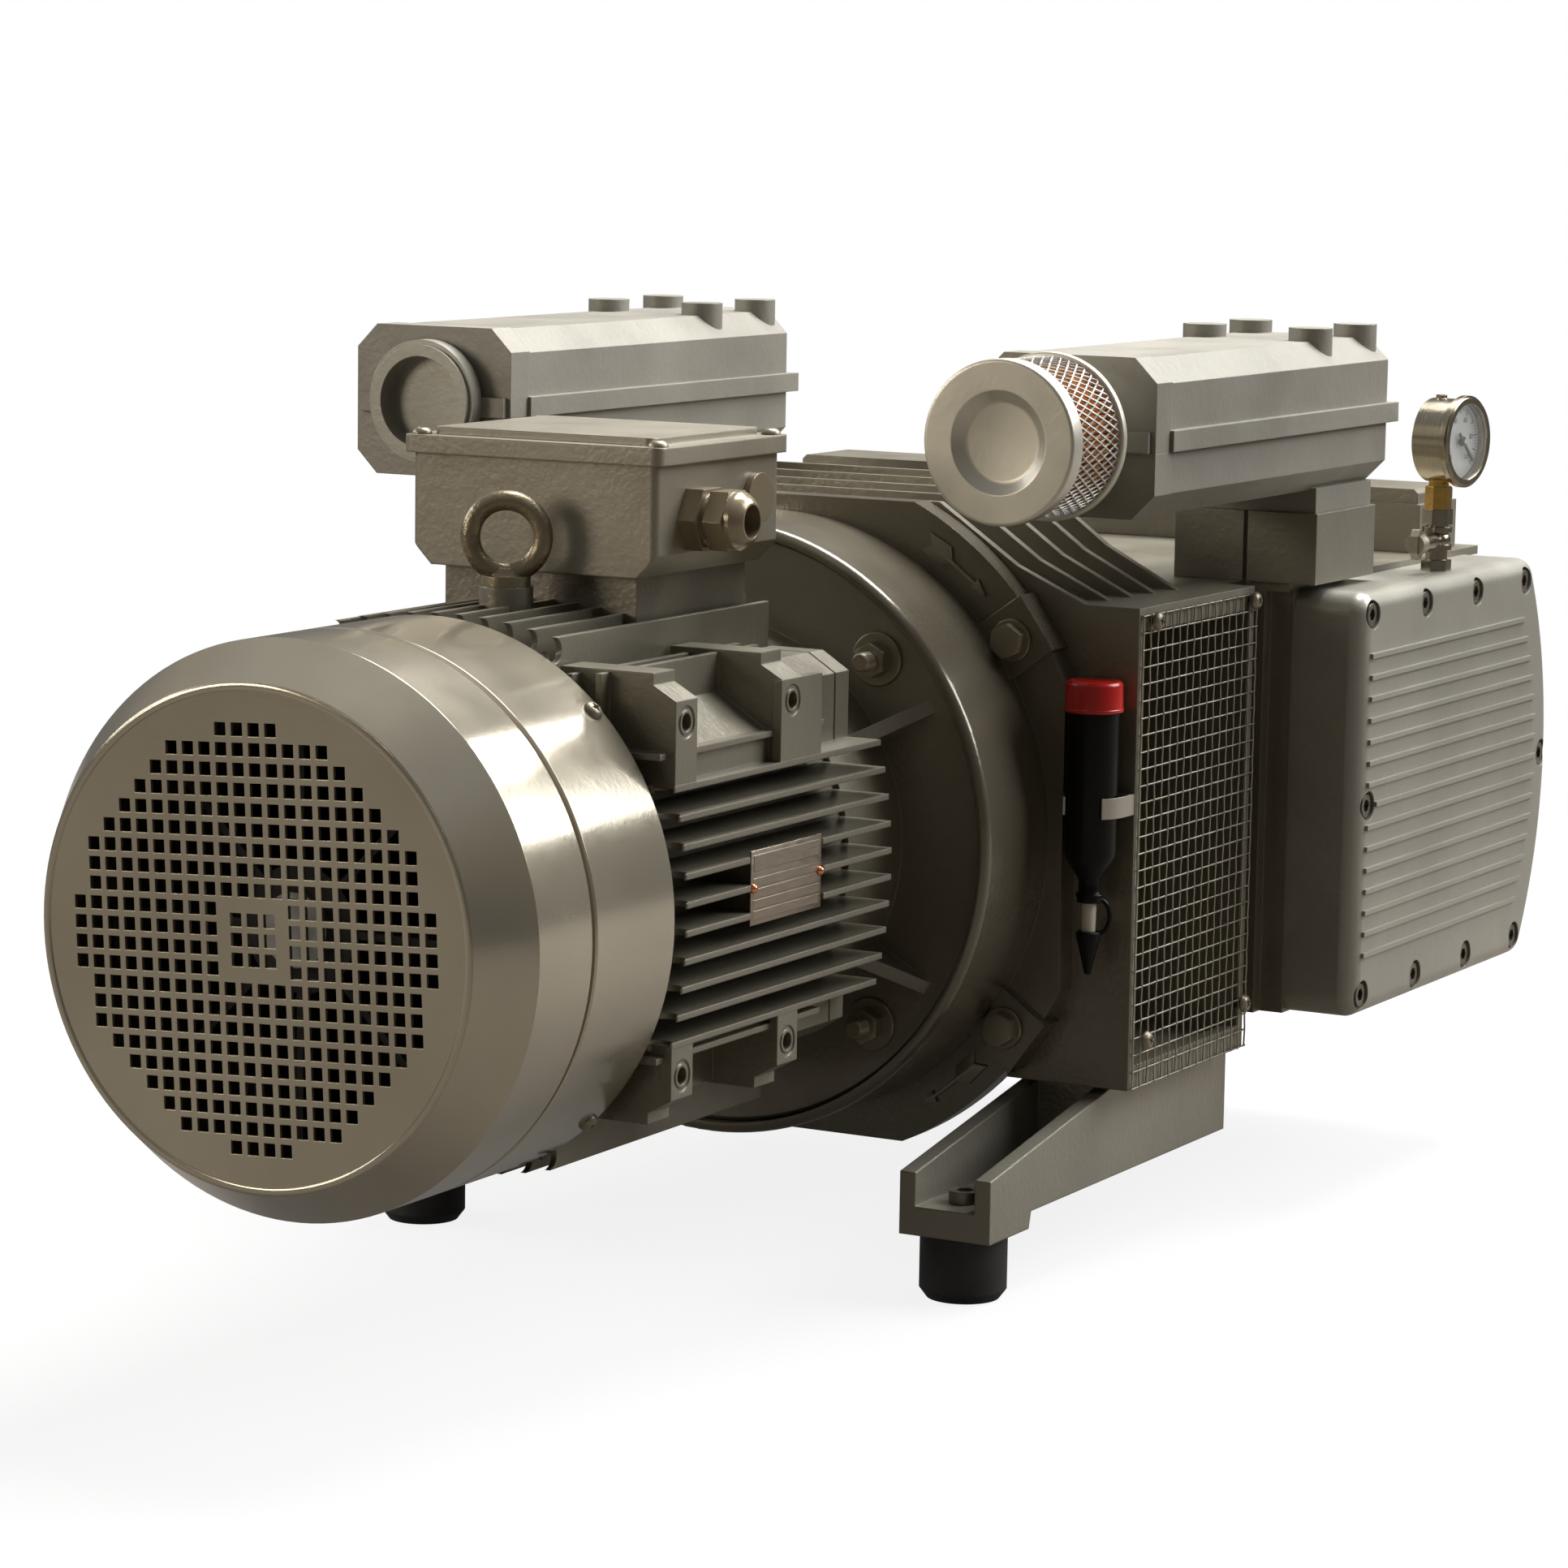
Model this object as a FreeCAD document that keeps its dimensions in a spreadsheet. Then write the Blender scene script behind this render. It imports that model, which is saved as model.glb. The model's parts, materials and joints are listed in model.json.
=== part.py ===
import FreeCAD, Part

import math
import os

import Sketcher
from FreeCAD import Placement, Rotation, Vector

# Dry-running rotary vane pump with a flange-mounted motor.
# Modelled about the motor axis: +X from the motor to the pump, x = 0 at the motor flange face,
# -Y the side with the grease bottle. Every sub-part is then lifted onto its feet by its Placement.

sizes = {
    # Placement of the whole
    "axis_height": 180.0,            # floor to motor axis
    "clearance": 0.3,                # gap between parts that don't touch
    "running_gap": 0.05,             # radial gap on shafts
    # Motor frame
    "frame_rear": -240.0,
    "frame_front": -62.0,
    "frame_radius": 86.0,
    "frame_bore": 78.0,
    "fin_rear": -232.0,
    "fin_pitch": 10.8,
    "fin_thickness": 2.4,
    "fin_reach": 108.0,              # fin tip to axis in the middle of a side
    "fin_crown": 200.0,              # radius that the fin tips follow
    "fin_round": 5.0,
    "lug_reach": 102.0,
    "lug_centre": 6.0,               # the lugs and the plate sit this far above the motor axis
    "lug_height": 67.1,
    "lug_width": 16.0,
    "lug_pitch": 82.0,
    "lug_rear": -225.7,
    "lug_hole": 3.4,                 # radius of the tapped M8 hole
    "lug_hole_depth": 16.0,
    "lug_ring": 6.2,
    "lug_end": -112.0,
    "lug_plate": 72.0,               # motor axis to the upright plate behind the lugs
    "ledge_upper": 61.0,
    "ledge_lower": 54.0,
    "ledge_reach": 99.0,
    "end_block": -106.0,
    "end_groove": 1.2,
    "end_flange": 11.0,
    "neck_rear": -157.0,
    "neck_front": -72.0,
    "neck_half_width": 44.0,
    "neck_top": 119.0,
    "eye_x": -182.0,
    "eye_boss_radius": 10.5,
    "eye_boss_top": 115.0,
    "eye_shank": 4.0,
    "eye_collar": 4.0,
    "eye_turn": 28.0,                # degrees that the ring is turned towards -Y
    "eye_land": 0.3,
    # Stator and motor rotor
    "core_rear": -205.0,
    "core_front": -100.0,
    "stator_inner": 52.0,
    "air_gap": 0.5,
    "winding_length": 22.0,
    "shaft_radius": 14.0,
    "bearing_seat": 15.0,
    "shaft_end": 48.0,
    "bearing_radius": 31.0,
    "bearing_width": 16.0,
    "bearing_rear": -258.0,
    "bearing_front": -22.0,
    # Rear shield, fan and fan cover
    "shield_thickness": 10.0,
    "cover_radius": 108.0,
    "cover_wall": 1.6,
    "cover_rear": -235.0,
    "cover_shoulder": -330.0,
    "cover_face": -352.0,
    "cover_face_radius": 94.0,
    "cover_groove": -292.0,
    "vent_turn": 2.8,                # degrees that the hole grid is turned
    "vent_pitch": 7.3,
    "vent_width": 4.9,
    "fan_radius": 88.0,
    "fan_rear": -322.0,
    "fan_front": -272.0,
    "fan_hub_radius": 24.0,
    "fan_blade": 3.0,
    # Motor flange FF215
    "flange_radius": 125.0,
    "flange_thickness": 16.0,
    "flange_circle": 107.5,          # radius of the bolt circle
    "flange_hole": 7.25,
    "spigot_radius": 90.0,
    "spigot_length": 4.0,
    "shield_radius": 88.5,
    "gusset_reach": 117.0,
    "gusset_root": -42.0,
    "gusset_thickness": 6.0,
    "stud_radius": 4.0,
    "nut_flats": 13.0,
    "nut_height": 6.8,
    "washer_radius": 11.2,
    "washer_height": 2.0,
    # Terminal box
    "box_rear": -163.0,
    "box_front": -66.0,
    "box_half_width": 56.0,
    "box_bottom": 119.0,
    "box_top": 163.0,
    "box_wall": 4.0,
    "box_chamfer": 9.0,
    "lid_overhang": 3.0,
    "lid_rim": 7.0,
    "box_round": 3.0,
    "lid_panel": 3.0,
    "lid_panel_margin": 9.0,
    "gland_x": -134.0,
    "gland_z": 141.0,
    "gland_flats": 24.0,
    "gland_length": 26.0,
    "gland_bore": 6.5,
    "gland_thread": 10.0,
    "plug_x": -86.0,
    "plug_radius": 10.0,
    "plug_thread": 8.0,
    "eye_ring": 14.0,                # radius of the ring's centre line
    "eye_wire": 4.0,
    "plate_length": 56.0,
    "plate_height": 29.0,
    "plate_thickness": 1.0,
    "plate_pad": 106.5,              # motor axis to the pad under the plate
    "plate_x": -148.0,
    # Adapter ring
    "lip_front": -20.0,
    "drum_radius": 130.0,
    "drum_round": 3.5,
    "web_thickness": 14.0,
    "band_rear": 36.0,
    "band_radius": 151.0,
    "band_flat": 136.5,              # the band is cut flat on all four sides
    "drum_wall": 9.0,
    "pad_circle": 139.2,
    "pad_angle": 36.0,
    "pad_size": 27.0,
    "pad_height": 3.0,
    "ring_bolt_flats": 13.0,
    "ring_bolt_head": 5.5,
    "ring_bolt_radius": 4.0,
    "ring_washer": 9.0,
    # Fan casing
    "casing_front": 48.0,
    "casing_rear": 166.0,
    "casing_half_width": 163.7,
    "casing_bottom": -105.7,
    "casing_top": 97.0,
    "casing_wall": 6.0,
    "casing_post": 10.0,
    "hood_rear": 137.0,
    "hood_top": 127.0,
    "hood_flat": 66.0,
    "hood_foot": 134.0,
    "rib_height": 9.0,
    "rib_rise": 1.5,                 # each rib stands this much above the one before
    "rib_pitch": 19.7,
    "rib_thickness": 4.0,
    "grille_wire": 1.3,
    # Coupling and cooling fan
    "coupling_radius": 36.0,
    "coupling_hub": 26.0,
    "jaw_length": 14.0,
    "jaw_width": 12.0,
    "shaft_way": 40.0,
    "cooling_fan_radius": 84.0,
    "cooling_fan_rear": 92.0,
    "cooling_fan_width": 50.0,
    # Pump
    "end_plate": 18.0,
    "cylinder_length": 204.0,
    "cylinder_bore": 70.0,
    "rotor_radius": 63.5,
    "rotor_end_gap": 0.3,
    "slot_width": 5.0,
    "slot_depth": 30.0,
    "core_half_height": 94.0,
    "neck_plate": 150.0,
    "deck_top": 97.0,
    "chamber_inner": 112.0,
    "chamber_height": 76.0,
    # Side covers
    "side_inner": 172.0,
    "side_outer": 207.0,
    "side_front": 190.5,
    "side_corner": 396.0,
    "side_end": 424.0,
    "side_half_height": 94.0,
    "side_wall": 5.0,
    "side_round": 8.0,
    "side_corner_round": 10.0,
    "side_rib_pitch": 9.45,
    "side_rib_height": 1.3,
    "side_rib_width": 2.2,
    "side_rib_field": 70.0,
    "side_flange": 12.0,
    "side_screw_edge": 10.0,
    "side_screw_pitch": 62.0,
    "side_screw_radius": 3.0,
    "side_screw_head": 5.0,
    "side_screw_pocket": 6.5,
    "side_screw_depth": 5.0,
    # Manifold and pedestals
    "manifold_length": 46.0,
    "manifold_past": 10.0,           # its end stands this far past the cylinder's end
    "manifold_half_width": 165.0,
    "manifold_top": 126.5,
    "manifold_lid": 7.0,
    "pedestal_front": 182.0,
    "pedestal_rear": 248.0,
    "pedestal_inner": 118.0,
    "pedestal_outer": 185.0,
    "pedestal_top": 128.0,
    "duct_radius": 20.0,
    # Top housings
    "housing_front": 0.0,
    "housing_rear": 250.0,
    "housing_y": 151.7,
    "housing_half_width": 39.2,
    "housing_bottom": 138.0,
    "housing_seam": 165.0,
    "housing_top": 203.0,
    "housing_chamfer": 10.0,
    "housing_wall": 4.0,
    "housing_bead": 8.5,
    "housing_bead_reach": 1.6,
    "housing_tab": 3.0,
    "housing_flange": 14.0,          # the front stretch that is wider than the rest
    "housing_inset": 1.2,
    "port_z": 171.0,
    "port_radius": 23.9,             # G 1 1/2 thread
    "port_wall": 12.0,
    "port_pad": 3.0,
    "port_rim": 8.0,
    "housing_end_round": 5.0,
    "plug_seat": 22.0,
    "collar_radius": 26.5,
    "collar_length": 12.0,
    "collar_recess": 19.5,
    "collar_recess_depth": 9.0,
    "filter_radius": 32.0,
    "filter_rear": -15.0,
    "filter_face": -62.5,
    "filter_paper": 27.0,
    "filter_cap_depth": 9.0,
    "filter_rim": 4.0,
    "filter_dish": 20.0,
    "filter_dish_depth": 4.0,
    "boss_radius": 9.5,
    "boss_height": 5.0,
    "boss_x": 188.3,
    "boss_pitch_x": 50.0,
    "boss_pitch_y": 50.0,
    # Gauge and valve
    "gauge_x": 311.0,
    "gauge_y": -190.0,
    "gauge_z": 153.3,
    "gauge_radius": 19.0,
    "gauge_bezel": 20.8,
    "gauge_bezel_width": 3.5,
    "gauge_front": 14.7,             # fitting's axis to the bezel's front
    "gauge_back": 5.0,
    "gauge_turn": 8.0,               # degrees that the gauge is turned towards -X
    "gauge_rest": 135.0,             # the pointer at rest, from upright, as the dial is read
    "valve_radius": 5.0,
    "valve_belly": 6.3,
    "valve_flats": 12.0,
    "valve_top": 122.0,
    "stem_z": 107.5,
    "stem_radius": 2.6,
    "lever_reach": 28.0,             # valve's axis to the lever's outer face
    "lever_width": 8.0,
    "lever_wing": 6.8,
    "brass_flats": 10.6,
    "fitting_radius": 4.5,
    # Legs and feet
    "foot_x": -36.0,
    "foot_y": 131.0,
    "foot_radius": 18.0,
    "foot_height": 27.0,
    "leg_width": 41.0,
    "leg_wall": 7.0,
    "leg_tip": 18.0,                 # foot centre to the end of the leg
    "leg_rear": 177.0,
    "leg_prong": 26.0,               # height of the channel's sides at the tip
    "leg_floor": 12.0,
    "leg_step": 7.0,                 # the underside behind the foot is this much higher
    "leg_rise": 68.0,                # where the slope meets the casing's bottom
    "rear_foot_inset": 36.0,         # cylinder's end to the rear foot's centre
    "foot_screw_radius": 4.0,
    # Grease bottle
    "bottle_y": -150.0,
    "bottle_radius": 10.7,
    "bottle_gap": 2.0,
    "bottle_cap_grip": 1.7,
    "bottle_top": 67.7,
    "bottle_cap_height": 13.0,
    "bottle_shoulder": -6.0,
    "bottle_neck_radius": 4.6,
    "bottle_neck": -16.0,
    "bottle_neck_end": -23.0,
    "nozzle_radius": 3.3,
    "nozzle_end": -37.2,
    "bottle_tip_radius": 5.1,
    "bottle_tip": -55.4,
    "strap_reach": 8.2,
    "clip_z": 15.5,
    "clip_width": 9.0,
    "pan_radius": 4.0,
    "pan_height": 2.5,
    "pan_depth": 6.0,
}

doc = FreeCAD.newDocument("VacuumPump")
sheet = doc.addObject("Spreadsheet::Sheet", "Sizes")
for row, (word, number) in enumerate(sizes.items(), start=1):
    sheet.set("A%d" % row, word)
    sheet.set("B%d" % row, str(number))
    sheet.setAlias("B%d" % row, word)
doc.recompute()


class Dim:
    """A size with its number and the sheet formula it comes from."""

    def __init__(self, value, text):
        self.value = value
        self.text = text

    def __add__(self, other):
        other = dim(other)
        return Dim(self.value + other.value, "(%s + %s)" % (self.text, other.text))

    def __sub__(self, other):
        other = dim(other)
        return Dim(self.value - other.value, "(%s - %s)" % (self.text, other.text))

    def __mul__(self, other):
        other = dim(other)
        return Dim(self.value * other.value, "(%s * %s)" % (self.text, other.text))

    def __truediv__(self, other):
        other = dim(other)
        return Dim(self.value / other.value, "(%s / %s)" % (self.text, other.text))

    def __radd__(self, other):
        return dim(other) + self

    def __rsub__(self, other):
        return dim(other) - self

    def __rmul__(self, other):
        return dim(other) * self

    def __neg__(self):
        return Dim(-self.value, "(0 - %s)" % self.text)


def dim(number):
    if isinstance(number, Dim):
        return number
    return Dim(float(number), "(%.6f)" % number)


class Sheet:
    """The sheet's sizes by name."""

    def __getattr__(self, word):
        return Dim(float(sheet.get(word)), "Sizes." + word)


s = Sheet()


# Building blocks

turns = {
    "x": Rotation(Vector(0, 1, 0), 90),
    "y": Rotation(Vector(1, 0, 0), -90),
    "z": Rotation(),
}


def bind(thing, prop, number):
    thing.setExpression(prop, dim(number).text)


def place(thing, at, rotation=None):
    where = [dim(number) for number in at]
    thing.Placement = Placement(Vector(*[number.value for number in where]), rotation or Rotation())
    for axis, number in zip("xyz", where):
        thing.setExpression("Placement.Base." + axis, number.text)


def block(x0, x1, y0, y1, z0, z1, name="Block"):
    thing = doc.addObject("Part::Box", name)
    bind(thing, "Length", dim(x1) - x0)
    bind(thing, "Width", dim(y1) - y0)
    bind(thing, "Height", dim(z1) - z0)
    place(thing, (x0, y0, z0))
    return thing


def rod(radius, start, end, at=(0, 0), along="x", name="Rod"):
    """A cylinder from start to end along an axis; at gives its other two coordinates."""
    thing = doc.addObject("Part::Cylinder", name)
    bind(thing, "Radius", radius)
    bind(thing, "Height", dim(end) - start)
    a, b = at
    corner = {"x": (start, a, b), "y": (a, start, b), "z": (a, b, start)}[along]
    place(thing, corner, turns[along])
    return thing


def cone(radius0, radius1, start, end, at=(0, 0), along="x", name="Cone"):
    thing = doc.addObject("Part::Cone", name)
    bind(thing, "Radius1", radius0)
    bind(thing, "Radius2", radius1)
    bind(thing, "Height", dim(end) - start)
    a, b = at
    corner = {"x": (start, a, b), "y": (a, start, b), "z": (a, b, start)}[along]
    place(thing, corner, turns[along])
    return thing


def hexagon(flats, start, end, at=(0, 0), along="x", name="Hexagon"):
    thing = doc.addObject("Part::Prism", name)
    thing.Polygon = 6
    bind(thing, "Circumradius", dim(flats) / math.sqrt(3))
    bind(thing, "Height", dim(end) - start)
    a, b = at
    corner = {"x": (start, a, b), "y": (a, start, b), "z": (a, b, start)}[along]
    place(thing, corner, turns[along])
    return thing


def torus(major, minor, at, along="x", name="Torus"):
    thing = doc.addObject("Part::Torus", name)
    bind(thing, "Radius1", major)
    bind(thing, "Radius2", minor)
    place(thing, at, turns[along])
    return thing


def ball(radius, at, name="Ball"):
    thing = doc.addObject("Part::Sphere", name)
    bind(thing, "Radius", radius)
    place(thing, at)
    return thing


def fuse(*parts, name="Fuse"):
    thing = doc.addObject("Part::MultiFuse", name)
    thing.Shapes = list(parts)
    thing.Refine = True
    return thing


def cut(base, *tools, name="Cut"):
    thing = doc.addObject("Part::Cut", name)
    thing.Base = base
    thing.Tool = tools[0] if len(tools) == 1 else group(*tools)
    thing.Refine = False
    return thing


def common(base, tool, name="Common"):
    thing = doc.addObject("Part::Common", name)
    thing.Base = base
    thing.Tool = tool
    return thing


def group(*parts, name="Group"):
    thing = doc.addObject("Part::Compound", name)
    thing.Links = list(parts)
    return thing


def sketch_on(body, role, points):
    """A closed outline on one of the body's own planes, each corner bound to the sheet.

    A corner is (u, v); (u, v, mid_u, mid_v) starts an arc through the middle point.
    """
    plane = [item for item in body.Origin.OriginFeatures if item.Role == role][0]
    sketch = body.newObject("Sketcher::SketchObject", "Outline")
    sketch.AttachmentSupport = [(plane, "")]
    sketch.MapMode = "FlatFace"
    corners = [[dim(number) for number in point] for point in points]
    count = len(corners)
    ends = []
    for i, corner in enumerate(corners):
        after = corners[(i + 1) % count]
        first = Vector(corner[0].value, corner[1].value, 0)
        last = Vector(after[0].value, after[1].value, 0)
        if len(corner) == 2:
            sketch.addGeometry(Part.LineSegment(first, last))
            ends.append((1, 2))
        else:
            arc = Part.ArcOfCircle(first, Vector(corner[2].value, corner[3].value, 0), last)
            sketch.addGeometry(arc)
            forward = arc.StartPoint.distanceToPoint(first) < arc.StartPoint.distanceToPoint(last)
            ends.append((1, 2) if forward else (2, 1))
    for i in range(count):
        j = (i + 1) % count
        sketch.addConstraint(Sketcher.Constraint("Coincident", i, ends[i][1], j, ends[j][0]))

    def fix(element, end, corner):
        for kind, number, axis in (("DistanceX", corner[0], -2), ("DistanceY", corner[1], -1)):
            if number.text == "(0.000000)":
                sketch.addConstraint(Sketcher.Constraint("PointOnObject", element, end, axis))
            else:
                index = sketch.addConstraint(Sketcher.Constraint(kind, -1, 1, element, end, number.value))
                sketch.setExpression("Constraints[%d]" % index, number.text)

    for i, corner in enumerate(corners):
        fix(i, ends[i][0], corner)
        if len(corner) == 4:
            middle = Vector(corner[2].value, corner[3].value, 0)
            mark = sketch.addGeometry(Part.Point(middle), True)
            fix(mark, 1, corner[2:])
            sketch.addConstraint(Sketcher.Constraint("PointOnObject", mark, 1, i))
    return sketch


def slab(role, points, start, end, name="Slab"):
    """An outline on a plane, padded from start to end along the plane's normal."""
    body = doc.addObject("PartDesign::Body", name)
    sketch = sketch_on(body, role, points)
    pad = body.newObject("PartDesign::Pad", "Pad")
    pad.Profile = sketch
    bind(pad, "Length", dim(end) - start)
    # The front plane's normal is -Y, so such a pad is turned round to run along +Y
    pad.Reversed = role == "XZ_Plane"
    shift = {"XY_Plane": (0, 0, start), "XZ_Plane": (0, start, 0), "YZ_Plane": (start, 0, 0)}[role]
    place(body, shift)
    return body


def turned(points, name="Turned"):
    """A solid of revolution about the X axis; points are (x, radius)."""
    body = doc.addObject("PartDesign::Body", name)
    sketch = sketch_on(body, "XY_Plane", points)
    axis = [item for item in body.Origin.OriginFeatures if item.Role == "X_Axis"][0]
    spin = body.newObject("PartDesign::Revolution", "Revolution")
    spin.Profile = sketch
    spin.ReferenceAxis = (axis, [""])
    spin.Angle = 360
    return body


def spun(thing, angle, name="Spun"):
    """The same thing turned about the motor axis."""
    held = group(thing, name=name)
    held.Placement = Placement(Vector(), Rotation(Vector(1, 0, 0), angle))
    return held


def mirrored(thing, name="Mirrored"):
    """The thing on the other side of the middle plane."""
    other = doc.addObject("Part::Mirroring", name)
    other.Source = thing
    other.Base = Vector(0, 0, 0)
    other.Normal = Vector(0, 1, 0)
    return other


nodes = []
shift_x = -(s.cover_face + s.side_end) / 2
shift_z = s.axis_height


def node(label, *parts):
    """One named piece, lifted from the motor axis to its place above the floor."""
    thing = group(*parts, name=label)
    thing.Label = label
    place(thing, (shift_x, 0, shift_z))
    nodes.append(thing)
    return thing


def between(a, b):
    """The two ends of a stretch in rising order."""
    return sorted((dim(a), dim(b)), key=lambda end: end.value)


def rounded(body, radius, chosen, name="Fillet"):
    """Rounds the edges of a body's last feature that the test picks."""
    doc.recompute()
    tip = body.Tip
    edges = ["Edge%d" % (i + 1) for i, edge in enumerate(tip.Shape.Edges) if chosen(edge.BoundBox)]
    fillet = body.newObject("PartDesign::Fillet", name)
    fillet.Base = (tip, edges)
    bind(fillet, "Radius", radius)
    return body


def ring(outer, inner, start, end, name="Ring"):
    return cut(rod(outer, start, end), rod(inner, start - 1, dim(end) + 1), name=name)


def socket_screw(head, shank, face, depth, at, along="y", side=1, name="SocketScrew"):
    """A socket head screw whose head sits on a face; side points out of the head."""
    height = head * 0.8
    top = face + height * side
    body = fuse(
        rod(head, *between(face, top), at=at, along=along),
        rod(shank, *between(face - depth * side, face + 1 * side), at=at, along=along),
    )
    socket = hexagon(shank * 1.7, *between(top - height * 0.6 * side, top + 1 * side), at=at, along=along)
    return cut(body, socket, name=name)


def hex_screw(flats, head, washer, washer_height, shank, face, depth, name="HexScrew"):
    """A hexagon screw and its washer on a face that looks to -X, along the motor axis."""
    plate = cut(rod(washer, face - washer_height, face), rod(shank, face - washer_height - 1, face + 1))
    under = face - washer_height
    body = fuse(
        hexagon(flats, under - head, under),
        rod(shank, under - 0.5, face + depth),
    )
    return plate, body


def at_angle(thing, radius, angle, name="AtAngle"):
    """The thing moved out from the motor axis by a radius, then turned about the axis."""
    held = group(thing, name=name)
    place(held, (0, 0, radius))
    return spun(held, angle)


# Where the pan head screws go, for the screws and for their holes

grille_face = -s.casing_half_width - s.grille_wire * 2
grille_screws = [(s.casing_front + 12, s.casing_top - 6), (s.casing_rear - 5, s.casing_top - 6),
                 (s.casing_front + 12, s.casing_bottom + 20), (s.casing_rear - 5, s.casing_bottom + 20)]
cover_screw_x = s.cover_rear - 6
cover_screw_angles = (44, 136, 224, 316)
lid_screws = [(s.box_rear + 4, -s.box_half_width + 2), (s.box_rear + 4, s.box_half_width - 2),
              (s.box_front - 4, -s.box_half_width + 2), (s.box_front - 4, s.box_half_width - 2)]


def pan_hole(at, face, along="y", side=-1):
    """The space of a pan head screw's shank below the face that its head sits on."""
    return rod(s.pan_radius / 2, *between(face - s.pan_depth * side, face), at=at, along=along)


# Motor frame with its fins, lugs, terminal box neck and eye bolt boss

def fins(reach, count):
    """One side's fins, standing up along +Z, with tips on a crowned line and rounded rear ends."""
    parts = []
    half = s.fin_thickness / 2
    root = s.frame_radius * 0.7
    near = s.fin_round * (1 - math.sqrt(0.5))
    for i in range(count):
        offset = s.fin_pitch * (i - (count - 1) / 2)
        tip = reach - offset * offset / (s.fin_crown * 2)
        outline = [
            (s.fin_rear, root),
            (s.fin_rear, tip - s.fin_round, s.fin_rear + near, tip - near),
            (s.fin_rear + s.fin_round, tip),
            (s.frame_front, tip),
            (s.frame_front, root),
        ]
        parts.append(slab("XZ_Plane", outline, offset - half, offset + half, name="Fin"))
    return fuse(*parts, name="Fins")


def plate_fin(start, end, y, low, high):
    """A thin upright plate beside the lugs, on the near side."""
    half = s.fin_thickness / 2
    return block(start, end, -y - half, -y + half, *between(low, high), name="PlateFin")


def lug_corner(up):
    """The lugs, ledge and end blocks of one near corner; up is 1 above the motor axis, -1 below."""
    def level(height):
        return s.lug_centre + height * up

    face = -s.lug_reach
    step = face + 10
    wall = -s.lug_plate
    deep = -s.frame_radius * 0.6
    fin = s.fin_pitch * 4.5 * up
    top = level(s.lug_height + 18.5)
    lug = [(deep, fin), (face, fin), (face, level(s.lug_height + 8.5)), (step, level(s.lug_height + 14)),
           (step, top), (deep, top)]
    ledge = s.ledge_upper if up > 0 else -s.ledge_lower
    half = s.fin_thickness / 2
    parts = []
    for x in (s.lug_rear, s.lug_rear + s.lug_pitch):
        parts.append(slab("YZ_Plane", lug, x, x + s.lug_width, name="Lug"))
    # The pocket between the lugs has a sloping floor in front of an upright plate
    first = s.lug_rear + s.lug_width - 1
    second = s.lug_rear + s.lug_pitch + 1
    floor = [(deep, fin), (step - 4, fin), (step - 4, ledge), (wall, level(s.lug_height + 3)),
             (deep, level(s.lug_height + 3))]
    parts.append(slab("YZ_Plane", floor, first, second, name="PocketFloor"))
    parts.append(plate_fin(s.fin_rear, s.lug_end, s.lug_plate, 0, top - up))
    parts.append(plate_fin(s.fin_rear, s.end_block + 2, s.fin_pitch * 5.5, 0, top - 2 * up))
    parts.append(block(s.fin_rear, s.end_block + 2, -s.ledge_reach, -s.frame_radius * 0.6, ledge - half,
                       ledge + half, name="Ledge"))
    if up > 0:
        parts.append(block(second - 2, s.lug_end, face, face + 4, fin, level(s.lug_height + 8.5),
                           name="LugWall"))
    # Blocks at the frame's front end, with a narrow groove before the end flange
    side = wall - 15
    block_top = level(s.lug_height + 11)
    end = [(deep, fin), (side, fin), (side, level(s.lug_height + 3.5)), (wall - 3, block_top), (deep, block_top)]
    flange = s.frame_front - s.end_flange
    parts.append(slab("YZ_Plane", end, s.end_block, flange - s.end_groove, name="EndBlock"))
    parts.append(slab("YZ_Plane", end, flange, s.frame_front, name="EndFlange"))
    return parts


def motor_frame():
    side = fins(s.fin_reach, 10)
    parts = [rod(s.frame_radius, s.frame_rear, s.frame_front, name="Tube")]
    for angle in (0, 90, 180, 270):
        parts.append(spun(side, angle))
    holes = [rod(s.frame_bore, s.frame_rear - 1, s.frame_front + 1, name="Bore")]
    for up in (1, -1):
        for piece in lug_corner(up):
            parts += [piece, mirrored(piece)]
        for x in (s.lug_rear, s.lug_rear + s.lug_pitch):
            at = (x + s.lug_width / 2, s.lug_centre + s.lug_height * up)
            face = -s.lug_reach
            hole = rod(s.lug_hole, face - 1, face + s.lug_hole_depth, at=at, along="y", name="LugHole")
            mark = cut(rod(s.lug_ring, face - 1, face + 0.5, at=at, along="y"),
                       rod(s.lug_hole + 1.2, face - 2, face + 1, at=at, along="y"), name="LugRing")
            holes += [hole, mirrored(hole), mark, mirrored(mark)]
    inner = s.frame_radius * 0.85
    parts.append(block(s.neck_rear, s.neck_front, -s.neck_half_width, s.neck_half_width, inner, s.neck_top,
                       name="Neck"))
    parts.append(rod(s.eye_boss_radius, inner, s.eye_boss_top, at=(s.eye_x, 0), along="z", name="EyeBoss"))
    holes.append(rod(s.eye_shank, s.eye_boss_top - 16, s.eye_boss_top + 1, at=(s.eye_x, 0), along="z",
                     name="EyeHole"))
    # The rating plate lies on a pad that stands among the near side's fins
    half = s.plate_length / 2
    tall = s.plate_height / 2
    z = s.lug_centre - 1
    parts.append(block(s.plate_x - half + 3, s.plate_x + half - 3, -s.plate_pad, -inner, z - tall + 3,
                       z + tall - 3, name="PlatePad"))
    holes.append(block(s.plate_x - half - 1, s.plate_x + half + 1, -s.fin_reach - 1, -s.plate_pad,
                       z - tall - 1, z + tall + 1, name="PlateClearance"))
    wire_way = block(s.neck_rear + 12, s.neck_front - 12, -s.neck_half_width + 12, s.neck_half_width - 12,
                     0, s.neck_top + 1, name="WireWay")
    holes.append(wire_way)
    return cut(fuse(*parts), *holes, name="MotorFrame")


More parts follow.
